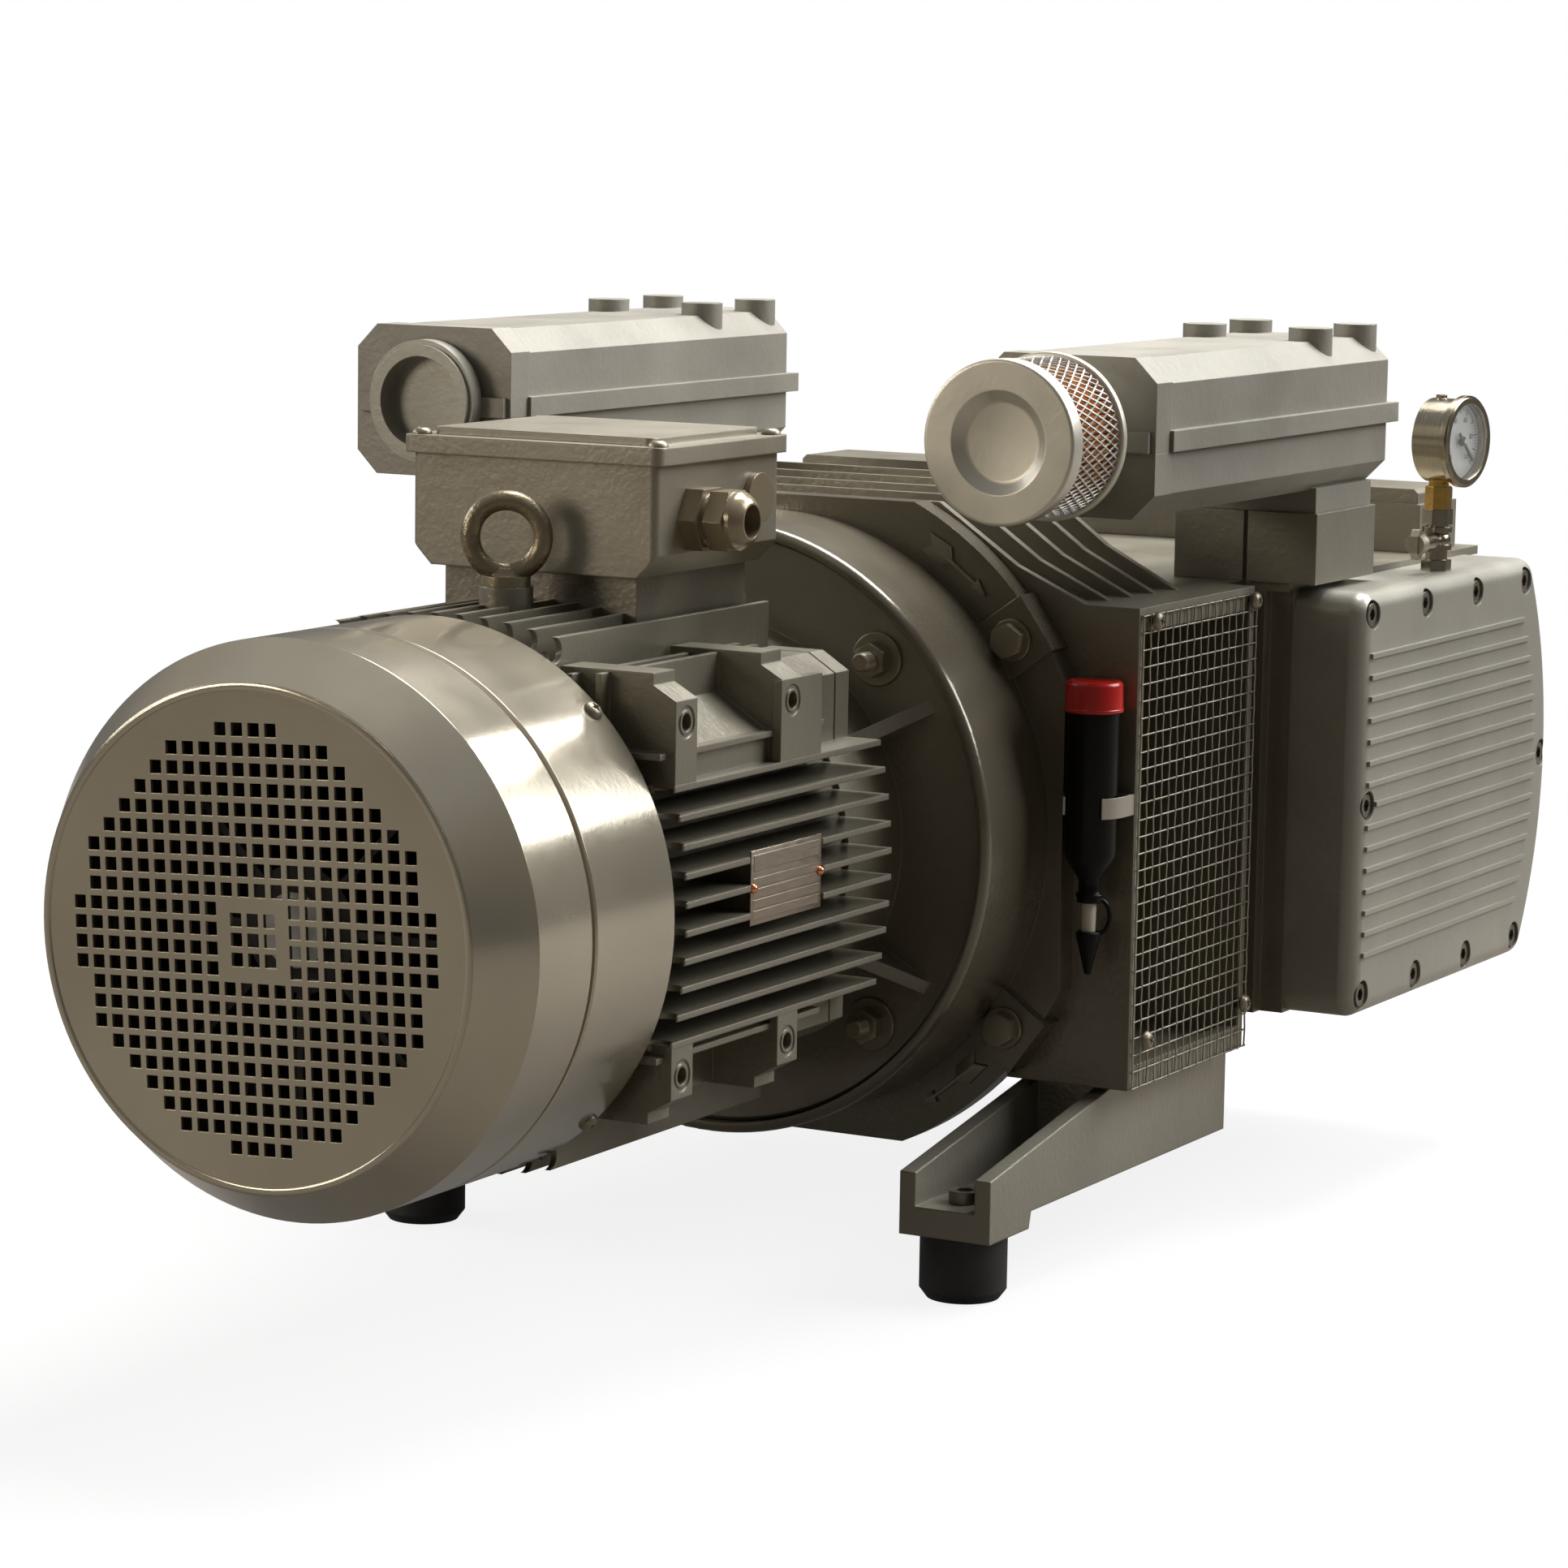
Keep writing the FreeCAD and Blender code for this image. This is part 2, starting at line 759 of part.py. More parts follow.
node("motor_frame", motor_frame())


# Stator, rotor, bearings

def stator_core():
    core = ring(s.frame_bore, s.stator_inner, s.core_rear, s.core_front)
    ends = []
    for start, end in ((s.core_rear - s.winding_length, s.core_rear),
                       (s.core_front, s.core_front + s.winding_length)):
        ends.append(ring(s.frame_bore - 6, s.stator_inner + 3, start, end))
    return fuse(core, *ends, name="StatorCore")


def motor_rotor():
    core = s.stator_inner - s.air_gap
    outline = [
        (s.fan_rear - 4, 0),
        (s.fan_rear - 4, s.shaft_radius),
        (s.bearing_rear, s.shaft_radius),
        (s.bearing_rear, s.bearing_seat),
        (s.core_rear, s.bearing_seat),
        (s.core_rear, core),
        (s.core_front, core),
        (s.core_front, s.bearing_seat),
        (s.bearing_front + s.bearing_width, s.bearing_seat),
        (s.bearing_front + s.bearing_width, s.shaft_radius),
        (s.shaft_end, s.shaft_radius),
        (s.shaft_end, 0),
    ]
    return turned(outline, name="MotorRotor")


pump_front = s.casing_rear + s.end_plate
pump_rear = pump_front + s.cylinder_length
pump_end = pump_rear + s.end_plate
bearing_starts = (s.bearing_rear, s.bearing_front, s.casing_rear + 2, pump_rear)


def ball_bearings():
    bearings = []
    for start in bearing_starts:
        bearings.append(ring(s.bearing_radius, s.bearing_seat + s.running_gap, start, start + s.bearing_width))
    return bearings


node("stator_core", stator_core())
node("motor_rotor", motor_rotor())
node("ball_bearings", *ball_bearings())


# Rear shield, fan and fan cover

def motor_rear_shield():
    back = s.frame_rear - s.shield_thickness
    hub = s.bearing_radius + 7
    outline = [
        (s.bearing_rear - 4, s.shaft_radius + 1),
        (s.bearing_rear - 4, hub),
        (back, hub + 4),
        (back, s.cover_radius - s.cover_wall),
        (s.frame_rear, s.cover_radius - s.cover_wall),
        (s.frame_rear, s.frame_bore),
        (s.frame_rear + 5, s.frame_bore),
        (s.frame_rear + 5, s.frame_bore - 7),
        (s.frame_rear, s.frame_bore - 7),
        (s.frame_rear, s.bearing_radius),
        (s.bearing_rear, s.bearing_radius),
        (s.bearing_rear, s.shaft_radius + 1),
    ]
    holes = [spun(pan_hole((cover_screw_x, 0), s.cover_radius, "z", 1), angle) for angle in cover_screw_angles]
    return cut(turned(outline, name="RearShieldBody"), *holes, name="RearShield")


def motor_fan():
    hub = ring(s.fan_hub_radius, s.shaft_radius, s.fan_rear, s.fan_front)
    disc = ring(s.fan_radius, s.fan_hub_radius - 1, s.fan_front - 4, s.fan_front)
    parts = [hub, disc]
    blades = 8
    for i in range(blades):
        blade = block(s.fan_rear, s.fan_front - 3, -s.fan_blade / 2, s.fan_blade / 2, s.fan_hub_radius - 2,
                      s.fan_radius, name="FanBlade")
        parts.append(spun(blade, 360 / blades * i))
    return fuse(*parts, name="MotorFan")


def vent_holes():
    """The square holes of the fan cover's face, cut through along X."""
    counts = [4, 10, 12, 14, 16, 18, 20, 20, 20, 22, 22]
    counts += counts[::-1]
    pitch = s.vent_pitch.value
    width = s.vent_width.value
    depth = 6.0
    holes = []
    centres = []
    for row, count in enumerate(counts):
        z = (row - (len(counts) - 1) / 2) * pitch
        for column in range(count):
            y = (column - (count - 1) / 2) * pitch
            if max(abs(y), abs(z)) > 1.6 * pitch:
                centres.append((y, z))
    for row in (-1, 0, 1):
        for column in (-1, 0, 1):
            centres.append((column * pitch, row * pitch))
    for y, z in centres:
        corner = Vector(s.cover_face.value - 2, y - width / 2, z - width / 2)
        holes.append(Part.makeBox(depth, width, width, corner))
    thing = doc.addObject("Part::Feature", "VentHoles")
    thing.Shape = Part.makeCompound(holes)
    thing.Placement = Placement(Vector(), Rotation(Vector(1, 0, 0), -s.vent_turn.value))
    return thing


def fan_cover():
    wall = s.cover_wall
    groove = s.cover_groove
    outline = [
        (s.cover_rear, s.cover_radius),
        (groove + 2, s.cover_radius),
        (groove, s.cover_radius - 1.2),
        (groove - 2, s.cover_radius),
        (s.cover_shoulder, s.cover_radius),
        (s.cover_face, s.cover_face_radius),
        (s.cover_face, 0),
        (s.cover_face + wall, 0),
        (s.cover_face + wall, s.cover_face_radius - 0.7),
        (s.cover_shoulder + 0.5, s.cover_radius - wall),
        (groove - 2, s.cover_radius - wall),
        (groove, s.cover_radius - 1.2 - wall),
        (groove + 2, s.cover_radius - wall),
        (s.cover_rear, s.cover_radius - wall),
    ]
    holes = [spun(pan_hole((cover_screw_x, 0), s.cover_radius, "z", 1), angle) for angle in cover_screw_angles]
    return cut(turned(outline, name="CoverShell"), vent_holes(), *holes, name="FanCover")


node("motor_rear_shield", motor_rear_shield())
node("motor_fan", motor_fan())
node("fan_cover", fan_cover())


# Motor flange shield and its fasteners

def motor_flange_shield():
    back = -s.flange_thickness
    seat_end = s.bearing_front + s.bearing_width
    outline = [
        (s.frame_front, s.frame_bore),
        (s.frame_front, s.shield_radius),
        (back, s.shield_radius),
        (back, s.flange_radius - 1.5),
        (back + 1.5, s.flange_radius),
        (0, s.flange_radius),
        (0, s.spigot_radius),
        (s.spigot_length, s.spigot_radius),
        (s.spigot_length, s.spigot_radius - 8),
        (0, s.spigot_radius - 8),
        (0, s.shaft_radius + 1),
        (seat_end, s.shaft_radius + 1),
        (seat_end, s.bearing_radius),
        (s.bearing_front, s.bearing_radius),
        (s.bearing_front, s.bearing_radius + 7),
        (back, s.bearing_radius + 7),
        (back, s.frame_bore),
    ]
    parts = [turned(outline, name="FlangeShield")]
    half = s.gusset_thickness / 2
    root = s.shield_radius - 4
    for angle in (60, 120, -60, -120):
        gusset = slab("XZ_Plane", [(s.gusset_root, root), (back + 1, root), (back + 1, s.gusset_reach),
                                   (back, s.gusset_reach)], -half, half, name="Gusset")
        parts.append(spun(gusset, angle))
    holes = []
    for angle in (45, 135, 225, 315):
        hole = rod(s.flange_hole, back - 1, 1)
        holes.append(at_angle(hole, s.flange_circle, angle))
    return cut(fuse(*parts), *holes, name="MotorFlangeShield")


def flange_fasteners():
    back = -s.flange_thickness
    pieces = []
    for angle in (45, 135, 225, 315):
        washer = ring(s.washer_radius, s.stud_radius, back - s.washer_height, back)
        face = back - s.washer_height
        nut = cut(hexagon(s.nut_flats, face - s.nut_height, face),
                  rod(s.stud_radius, face - s.nut_height - 1, face + 1))
        stud = rod(s.stud_radius, face - s.nut_height - 4, s.web_thickness - 2)
        pieces.append(at_angle(group(washer, nut, stud), s.flange_circle, angle))
    return pieces


node("motor_flange_shield", motor_flange_shield())
node("flange_fasteners", *flange_fasteners())


# Terminal box

def terminal_box_body():
    low = s.box_bottom
    narrow = s.box_half_width - s.box_chamfer
    outline = [(-narrow, low), (narrow, low), (s.box_half_width, low + s.box_chamfer),
               (s.box_half_width, s.box_top), (-s.box_half_width, s.box_top),
               (-s.box_half_width, low + s.box_chamfer)]
    body = slab("YZ_Plane", outline, s.box_rear, s.box_front, name="BoxBody")
    side = (s.box_top - low - s.box_chamfer - 1).value
    rounded(body, s.box_round, lambda box: box.XLength < 0.01 and box.YLength < 0.01 and box.ZLength > side)
    wall = s.box_wall
    inside = block(s.box_rear + wall, s.box_front - wall, -narrow + wall, narrow - wall, low + wall,
                   s.box_top + 1)
    wide = block(s.box_rear + wall, s.box_front - wall, -s.box_half_width + wall, s.box_half_width - wall,
                 low + s.box_chamfer + 1, s.box_top + 1)
    floor = rod(20, low - 1, low + wall + 1, at=((s.box_rear + s.box_front) / 2, 0), along="z")
    outside = -s.box_half_width
    gland = rod(s.gland_thread, outside - 1, outside + wall + 1, at=(s.gland_x, s.gland_z), along="y")
    plug = rod(s.plug_thread, outside - 1, outside + wall + 1, at=(s.plug_x, s.gland_z + 5), along="y")
    return cut(body, inside, wide, floor, gland, plug, name="TerminalBoxBody")


def terminal_box_lid():
    over = s.lid_overhang
    x0 = s.box_rear - over
    x1 = s.box_front + over
    half = s.box_half_width + over
    top = s.box_top + s.lid_rim
    margin = s.lid_panel_margin
    rim = slab("XY_Plane", [(x0, -half), (x1, -half), (x1, half), (x0, half)], s.box_top, top, name="LidRim")
    rounded(rim, s.box_round + 1, lambda box: box.ZLength > s.lid_rim.value - 0.1)
    wide = half - margin
    panel = slab("XY_Plane", [(x0 + margin, -wide), (x1 - margin, -wide), (x1 - margin, wide),
                              (x0 + margin, wide)], top - 1, top + s.lid_panel, name="LidPanel")
    rounded(panel, s.box_round, lambda box: box.ZLength > s.lid_panel.value)
    tools = []
    for at in lid_screws:
        tools.append(pan_hole(at, top, "z", 1))
        tools.append(rod(s.pan_radius + s.clearance, top, top + s.lid_panel + 1, at=at, along="z"))
    return cut(fuse(rim, panel), *tools, name="TerminalBoxLid")


def terminal_board():
    mid = (s.box_rear + s.box_front) / 2
    floor = s.box_bottom + s.box_wall
    base = block(mid - 30, mid + 30, -20, 20, floor, floor + 12)
    posts = []
    for x in (-20, 0, 20):
        for y in (-11, 11):
            posts.append(rod(2.5, floor + 11, floor + 22, at=(mid + x, y), along="z"))
    return fuse(base, *posts, name="TerminalBoard")


def cable_gland():
    face = -s.box_half_width
    at = (s.gland_x, s.gland_z)
    tip = face - s.gland_length
    parts = [
        rod(s.gland_thread, face, face + s.box_wall + 5, at=at, along="y"),
        hexagon(s.gland_flats, face - 8, face, at=at, along="y"),
        rod(s.gland_flats * 0.42, face - 13, face - 7, at=at, along="y"),
        hexagon(s.gland_flats - 1, face - 19, face - 11, at=at, along="y"),
        common(ball(s.gland_flats / 2 + 1.2, (s.gland_x, face - 15, s.gland_z)),
               rod(s.gland_flats / 2 - 0.5, tip, face - 18, at=at, along="y")),
    ]
    bore = rod(s.gland_bore, tip - 1, face + s.box_wall + 6, at=at, along="y")
    return cut(fuse(*parts), bore, name="CableGland")


def blanking_plug():
    face = -s.box_half_width
    at = (s.plug_x, s.gland_z + 5)
    return fuse(rod(s.plug_radius, face - 3, face, at=at, along="y"),
                rod(s.plug_thread, face - 1, face + s.box_wall + 4, at=at, along="y"), name="BlankingPlug")


def eye_bolt():
    middle = s.eye_boss_top + s.eye_collar + s.eye_ring + 1
    loop = cut(torus(s.eye_ring, s.eye_wire, (0, 0, 0)),
               rod(s.eye_ring - s.eye_wire + s.eye_land, -s.eye_wire, s.eye_wire))
    ring_turned = group(loop, name="EyeRing")
    place(ring_turned, (s.eye_x, 0, middle), Rotation(Vector(0, 0, 1), s.eye_turn.value))
    at = (s.eye_x, 0)
    parts = [
        ring_turned,
        rod(s.eye_boss_radius - 1, s.eye_boss_top, s.eye_boss_top + s.eye_collar, at=at, along="z"),
        rod(s.eye_shank, s.eye_boss_top - 14, s.eye_boss_top + 1, at=at, along="z"),
        cone(7, 4.5, s.eye_boss_top + s.eye_collar - 0.5, s.eye_boss_top + s.eye_collar + 3, at=at, along="z"),
    ]
    return fuse(*parts, name="EyeBolt")


def nameplate():
    back = -s.plate_pad
    half = s.plate_length / 2
    tall = s.plate_height / 2
    z = s.lug_centre - 1
    pieces = [block(s.plate_x - half, s.plate_x + half, back - s.plate_thickness, back, z - tall, z + tall,
                    name="Plate")]
    for side in (-1, 1):
        x = s.plate_x + (half - 3) * side
        pieces.append(rod(2, back - s.plate_thickness - 1, back - s.plate_thickness, at=(x, z), along="y",
                          name="Rivet"))
    return pieces


node("terminal_box_body", terminal_box_body())
node("terminal_box_lid", terminal_box_lid())
node("terminal_board", terminal_board())
node("cable_gland", cable_gland())
node("blanking_plug", blanking_plug())
node("eye_bolt", eye_bolt())
node("nameplate", *nameplate())


# Adapter ring between the motor flange and the fan casing

def adapter_ring():
    inner = s.drum_radius - s.drum_wall
    outline = [
        (s.lip_front, s.flange_radius + 0.3),
        (s.lip_front, s.drum_radius),
        (s.band_rear, s.drum_radius),
        (s.band_rear, s.band_radius),
        (s.casing_front, s.band_radius),
        (s.casing_front, inner),
        (s.web_thickness, inner),
        (s.web_thickness, s.spigot_radius + s.running_gap),
        (0, s.spigot_radius + s.running_gap),
        (0, s.flange_radius + 0.3),
    ]
    body = turned(outline, name="RingBody")
    rim = (s.drum_radius - 0.5).value
    rounded(body, s.drum_round, lambda box: box.XLength < 0.01 and box.YMax > rim and box.XMax < -10)
    parts = [body]
    half = s.pad_size / 2
    for angle in pad_angles:
        pad = block(s.band_rear - s.pad_height, s.casing_front, -half, half, s.drum_radius - 4,
                    s.band_radius + 2, name="Pad")
        parts.append(spun(pad, angle))
    tools = []
    reach = s.band_radius + 10
    flat = block(s.band_rear - 5, s.casing_front + 1, -reach, reach, s.band_flat, reach, name="BandFlat")
    for angle in (0, 90, 180, 270):
        tools.append(spun(flat, angle))
    for angle in pad_angles:
        hole = rod(s.ring_bolt_radius, s.band_rear - s.pad_height - 1, s.casing_front + 1)
        tools.append(at_angle(hole, s.pad_circle, angle))
    for angle in (45, 135, 225, 315):
        hole = rod(s.stud_radius, -1, s.web_thickness + 1)
        tools.append(at_angle(hole, s.flange_circle, angle))
    return cut(fuse(*parts), *tools, name="AdapterRing")


pad_angles = [90 - s.pad_angle.value, 90 + s.pad_angle.value, s.pad_angle.value - 90, -90 - s.pad_angle.value]


def adapter_bolts():
    pieces = []
    for angle in pad_angles:
        face = s.band_rear - s.pad_height
        washer, screw = hex_screw(s.ring_bolt_flats, s.ring_bolt_head, s.ring_washer, 1.6, s.ring_bolt_radius,
                                  face, 22)
        pieces.append(at_angle(group(washer, screw), s.pad_circle, angle))
    return pieces


node("adapter_ring", adapter_ring())
node("adapter_bolts", *adapter_bolts())


# Fan casing with its ribbed hood

def hood_outline(grow, foot):
    """Half-arch over the casing, wider by the given amount; seen along the motor axis."""
    flat = s.hood_flat + grow * 0.45
    top = s.hood_top + grow
    side = s.hood_foot + grow * 0.8
    mid_y = (flat + side) / 2 + 1
    mid_z = (top + s.casing_top) / 2 - 5
    return [(-side, foot), (side, foot), (side, s.casing_top - 1), (mid_y, mid_z), (flat, top), (-flat, top),
            (-mid_y, mid_z), (-side, s.casing_top - 1)]


def fan_casing():
    x0 = s.casing_front
    x1 = s.casing_rear
    half = s.casing_half_width
    low = s.casing_bottom
    top = s.casing_top
    wall = s.casing_wall
    post = s.casing_post
    parts = [block(x0, x1, -half, half, low, top, name="CasingBox")]
    parts.append(slab("YZ_Plane", hood_outline(0, s.casing_top - 10), x0, s.hood_rear, name="Hood"))
    for i in range(5):
        x = x0 + s.rib_pitch * i
        outline = hood_outline(s.rib_height + s.rib_rise * i, s.casing_top - 10)
        parts.append(slab("YZ_Plane", outline, x, x + s.rib_thickness, name="HoodRib"))
    tools = [
        block(x0 + wall, x1 - wall, -half - 1, half + 1, low + post, top - post, name="SideOpenings"),
        block(x0 + wall, x1 - wall, -half + wall, half - wall, low + wall, top - wall, name="Inside"),
        rod(s.drum_radius - s.drum_wall, x0 - 1, x0 + wall + 1, name="FanInlet"),
        rod(s.shaft_way, x1 - wall - 1, x1 + 1, name="ShaftWay"),
        slab("YZ_Plane", hood_outline(-6, s.casing_top - 12), x0 + wall, s.hood_rear - 6, name="HoodInside"),
    ]
    for angle in pad_angles:
        hole = rod(s.ring_bolt_radius, x0 - 1, x0 + 20)
        tools.append(at_angle(hole, s.pad_circle, angle))
    for at in grille_screws:
        hole = pan_hole(at, grille_face)
        tools += [hole, mirrored(hole)]
    return cut(fuse(*parts), *tools, name="FanCasing")


def side_grille():
    """Two touching layers of wires in front of a casing opening, near side."""
    x0 = s.casing_front + 2
    x1 = s.casing_rear + 1
    z0 = s.casing_bottom
    z1 = s.casing_top - 3
    wire = s.grille_wire
    y0 = -s.casing_half_width - wire * 2
    parts = []
    across_count = 17
    for i in range(across_count):
        x = x0 + (x1 - x0 - wire) / (across_count - 1) * i
        parts.append(block(x, x + wire, y0 + wire, y0 + wire * 2, z0, z1, name="Upright"))
    up_count = 29
    for i in range(up_count):
        z = z0 + (z1 - z0 - wire) / (up_count - 1) * i
        parts.append(block(x0, x1, y0, y0 + wire * 1.02, z, z + wire, name="Crosswire"))
    return cut(fuse(*parts), *[pan_hole(at, grille_face) for at in grille_screws], name="SideGrille")


node("fan_casing", fan_casing())
near_grille = side_grille()
node("side_grille_near", near_grille)
node("side_grille_far", mirrored(near_grille))


# Shaft coupling and cooling fan

jaw_rear = s.shaft_end
jaw_front = s.shaft_end + s.jaw_length
spider_gap = s.clearance


def coupling_half(start, end, disc0, disc1, jaw0, jaw1, turn):
    parts = [
        rod(s.coupling_hub, start, end, name="Hub"),
        rod(s.coupling_radius, disc0, disc1, name="Disc"),
    ]
    for i in range(3):
        jaw = block(jaw0, jaw1, -s.jaw_width / 2, s.jaw_width / 2, s.coupling_hub * 0.5, s.coupling_radius - 1,
                    name="Jaw")
        parts.append(spun(jaw, 120 * i + turn))
    return fuse(*parts)


def coupling_motor_half():
    disc = jaw_rear - 8
    body = coupling_half(disc - 24, jaw_rear, disc, jaw_rear, jaw_rear - 1, jaw_front - 1, 0)
    return cut(body, rod(s.shaft_radius, disc - 25, jaw_rear + 1), name="CouplingMotorHalf")


def coupling_pump_half():
    disc = jaw_front + 8
    body = coupling_half(jaw_front, disc + 10, jaw_front, disc, jaw_rear + 1, jaw_front + 1, 60)
    return cut(body, rod(s.shaft_radius, jaw_front - 1, disc + 11), name="CouplingPumpHalf")


def coupling_spider():
    body = rod(s.coupling_radius - 3, jaw_rear + spider_gap, jaw_front - spider_gap)
    tools = [rod(s.coupling_hub * 0.5 - 2, jaw_rear - 1, jaw_front + 1)]
    half = s.jaw_width / 2 + spider_gap
    for i in range(6):
        jaw = block(jaw_rear - 1, jaw_front + 1, -half, half, s.coupling_hub * 0.5 - spider_gap,
                    s.coupling_radius + 1)
        tools.append(spun(jaw, 60 * i))
    return cut(body, *tools, name="CouplingSpider")


def cooling_fan():
    start = s.cooling_fan_rear
    end = start + s.cooling_fan_width
    hub = ring(s.coupling_hub, s.shaft_radius, start, end + 8)
    disc = ring(s.cooling_fan_radius, s.coupling_hub - 1, end - 4, end)
    parts = [hub, disc]
    for i in range(12):
        blade = block(start, end - 3, -1.5, 1.5, s.cooling_fan_radius * 0.6, s.cooling_fan_radius - 0.5,
                      name="CoolingBlade")
        parts.append(spun(blade, 30 * i))
    return fuse(*parts, name="CoolingFan")


node("coupling_motor_half", coupling_motor_half())
node("coupling_spider", coupling_spider())
node("coupling_pump_half", coupling_pump_half())
node("cooling_fan", cooling_fan())


# Pump: end plates, cylinder, rotor and vanes

eccentricity = s.cylinder_bore - s.rotor_radius - s.clearance
core_height = s.core_half_height


def end_plate(start, end, seat0, seat1, name):
    body = block(start, end, -s.neck_plate, s.neck_plate, -core_height, s.deck_top)
    return cut(body, rod(s.bearing_radius, seat0, seat1), rod(s.shaft_radius + 2, start - 1, end + 1), name=name)


def rear_end_plate():
    seat = pump_rear - 1
    plate = block(pump_rear, pump_end, -s.neck_plate, s.neck_plate, -core_height, core_height - 1)
    cap = rod(s.bearing_radius + 14, pump_end - 1, pump_end + 8)
    return cut(fuse(plate, cap), rod(s.bearing_radius, seat, pump_rear + s.bearing_width),
               rod(s.shaft_radius + 2, seat, pump_end + 2), name="RearEndPlate")


def cover_outline(inset):
    """A side cover's outline in side view, drawn in from its edge by an inset."""
    x0 = s.side_front + inset
    x1 = s.side_corner - inset
    z = s.side_half_height - inset
    return [(x0, -z), (x1, -z, s.side_end - inset, 0), (x1, z), (x0, z)]


side_screws = [
    (s.side_front + s.side_screw_edge, s.side_half_height - s.side_screw_edge),
    (s.side_front + s.side_screw_edge + s.side_screw_pitch, s.side_half_height - s.side_screw_edge),
    (s.side_front + s.side_screw_edge + s.side_screw_pitch * 2, s.side_half_height - s.side_screw_edge),
    (s.side_front + s.side_screw_edge + s.side_screw_pitch * 3, s.side_half_height - s.side_screw_edge),
    (s.side_front + s.side_screw_edge, 0),
    (s.side_end - s.side_screw_edge, 0),
    (s.side_front + s.side_screw_edge, -(s.side_half_height - s.side_screw_edge)),
    (s.side_front + s.side_screw_edge + s.side_screw_pitch, -(s.side_half_height - s.side_screw_edge)),
    (s.side_front + s.side_screw_edge + s.side_screw_pitch * 2, -(s.side_half_height - s.side_screw_edge)),
    (s.side_front + s.side_screw_edge + s.side_screw_pitch * 3, -(s.side_half_height - s.side_screw_edge)),
]


def pump_cylinder():
    flange = s.side_inner - s.side_flange
    parts = [
        block(pump_front, pump_rear, -flange - 1, flange + 1, -core_height, core_height, name="Core"),
        block(pump_front, pump_end + 4, -s.side_inner, s.side_inner, core_height - 1, s.deck_top, name="Deck"),
        slab("XZ_Plane", cover_outline(0), -s.side_inner, -flange, name="NearFlange"),
        slab("XZ_Plane", cover_outline(0), flange, s.side_inner, name="FarFlange"),
    ]
    tools = [rod(s.cylinder_bore, pump_front - 1, pump_rear + 1, at=(0, -eccentricity), name="PumpBore")]
    for side in (-1, 1):
        y0, y1 = between(s.chamber_inner * side, (s.side_inner + 1) * side)
        tools.append(block(pump_front + 22, pump_rear - 12, y0, y1, -s.chamber_height, s.chamber_height,
                           name="SideChamber"))
        for x, z in side_screws:
            h0, h1 = between((flange - 2) * side, (s.side_inner + 1) * side)
            tools.append(rod(s.side_screw_radius, h0, h1, at=(x, z), along="y", name="ScrewHole"))
        tools.append(rod(s.duct_radius, core_height - 20, s.deck_top + 1, at=(duct_x, s.housing_y * side),
                         along="z", name="Duct"))
    return cut(fuse(*parts), *tools, name="PumpCylinder")


duct_x = (s.pedestal_front + s.pedestal_rear) / 2


def pump_rotor():
    outline = [
        (jaw_front, 0),
        (jaw_front, s.shaft_radius),
        (s.casing_rear, s.shaft_radius),
        (s.casing_rear, s.bearing_seat),
        (pump_front + s.rotor_end_gap, s.bearing_seat),
        (pump_front + s.rotor_end_gap, s.rotor_radius),
        (pump_rear - s.rotor_end_gap, s.rotor_radius),
        (pump_rear - s.rotor_end_gap, s.bearing_seat),
        (pump_rear + s.bearing_width, s.bearing_seat),
        (pump_rear + s.bearing_width, 0),
    ]
    body = turned(outline, name="RotorBody")
    slots = []
    for i in range(6):
        slot = block(pump_front - 1, pump_rear + 1, -s.slot_width / 2, s.slot_width / 2,
                     s.rotor_radius - s.slot_depth, s.rotor_radius + 1, name="Slot")
        slots.append(spun(slot, 60 * i + 30))
    ends = [rod(s.bearing_seat, pump_front - 2, pump_front + s.rotor_end_gap),
            rod(s.bearing_seat, pump_rear - s.rotor_end_gap, pump_rear + 2)]
    return fuse(cut(body, *slots), *ends, name="PumpRotor")


def vanes():
    pieces = []
    half = s.slot_width / 2 - s.running_gap
    for i in range(6):
        vane = block(pump_front + s.rotor_end_gap, pump_rear - s.rotor_end_gap, -half, half,
                     s.rotor_radius - s.slot_depth + 0.2, s.rotor_radius - 0.2, name="Vane")
        pieces.append(spun(vane, 60 * i + 30))
    return pieces


node("front_end_plate", end_plate(s.casing_rear, pump_front, s.casing_rear + 2, pump_front + 1, "FrontPlate"))
node("pump_cylinder", pump_cylinder())
node("rear_end_plate", rear_end_plate())
node("pump_rotor", pump_rotor())
node("vanes", *vanes())


# Side covers with their screws

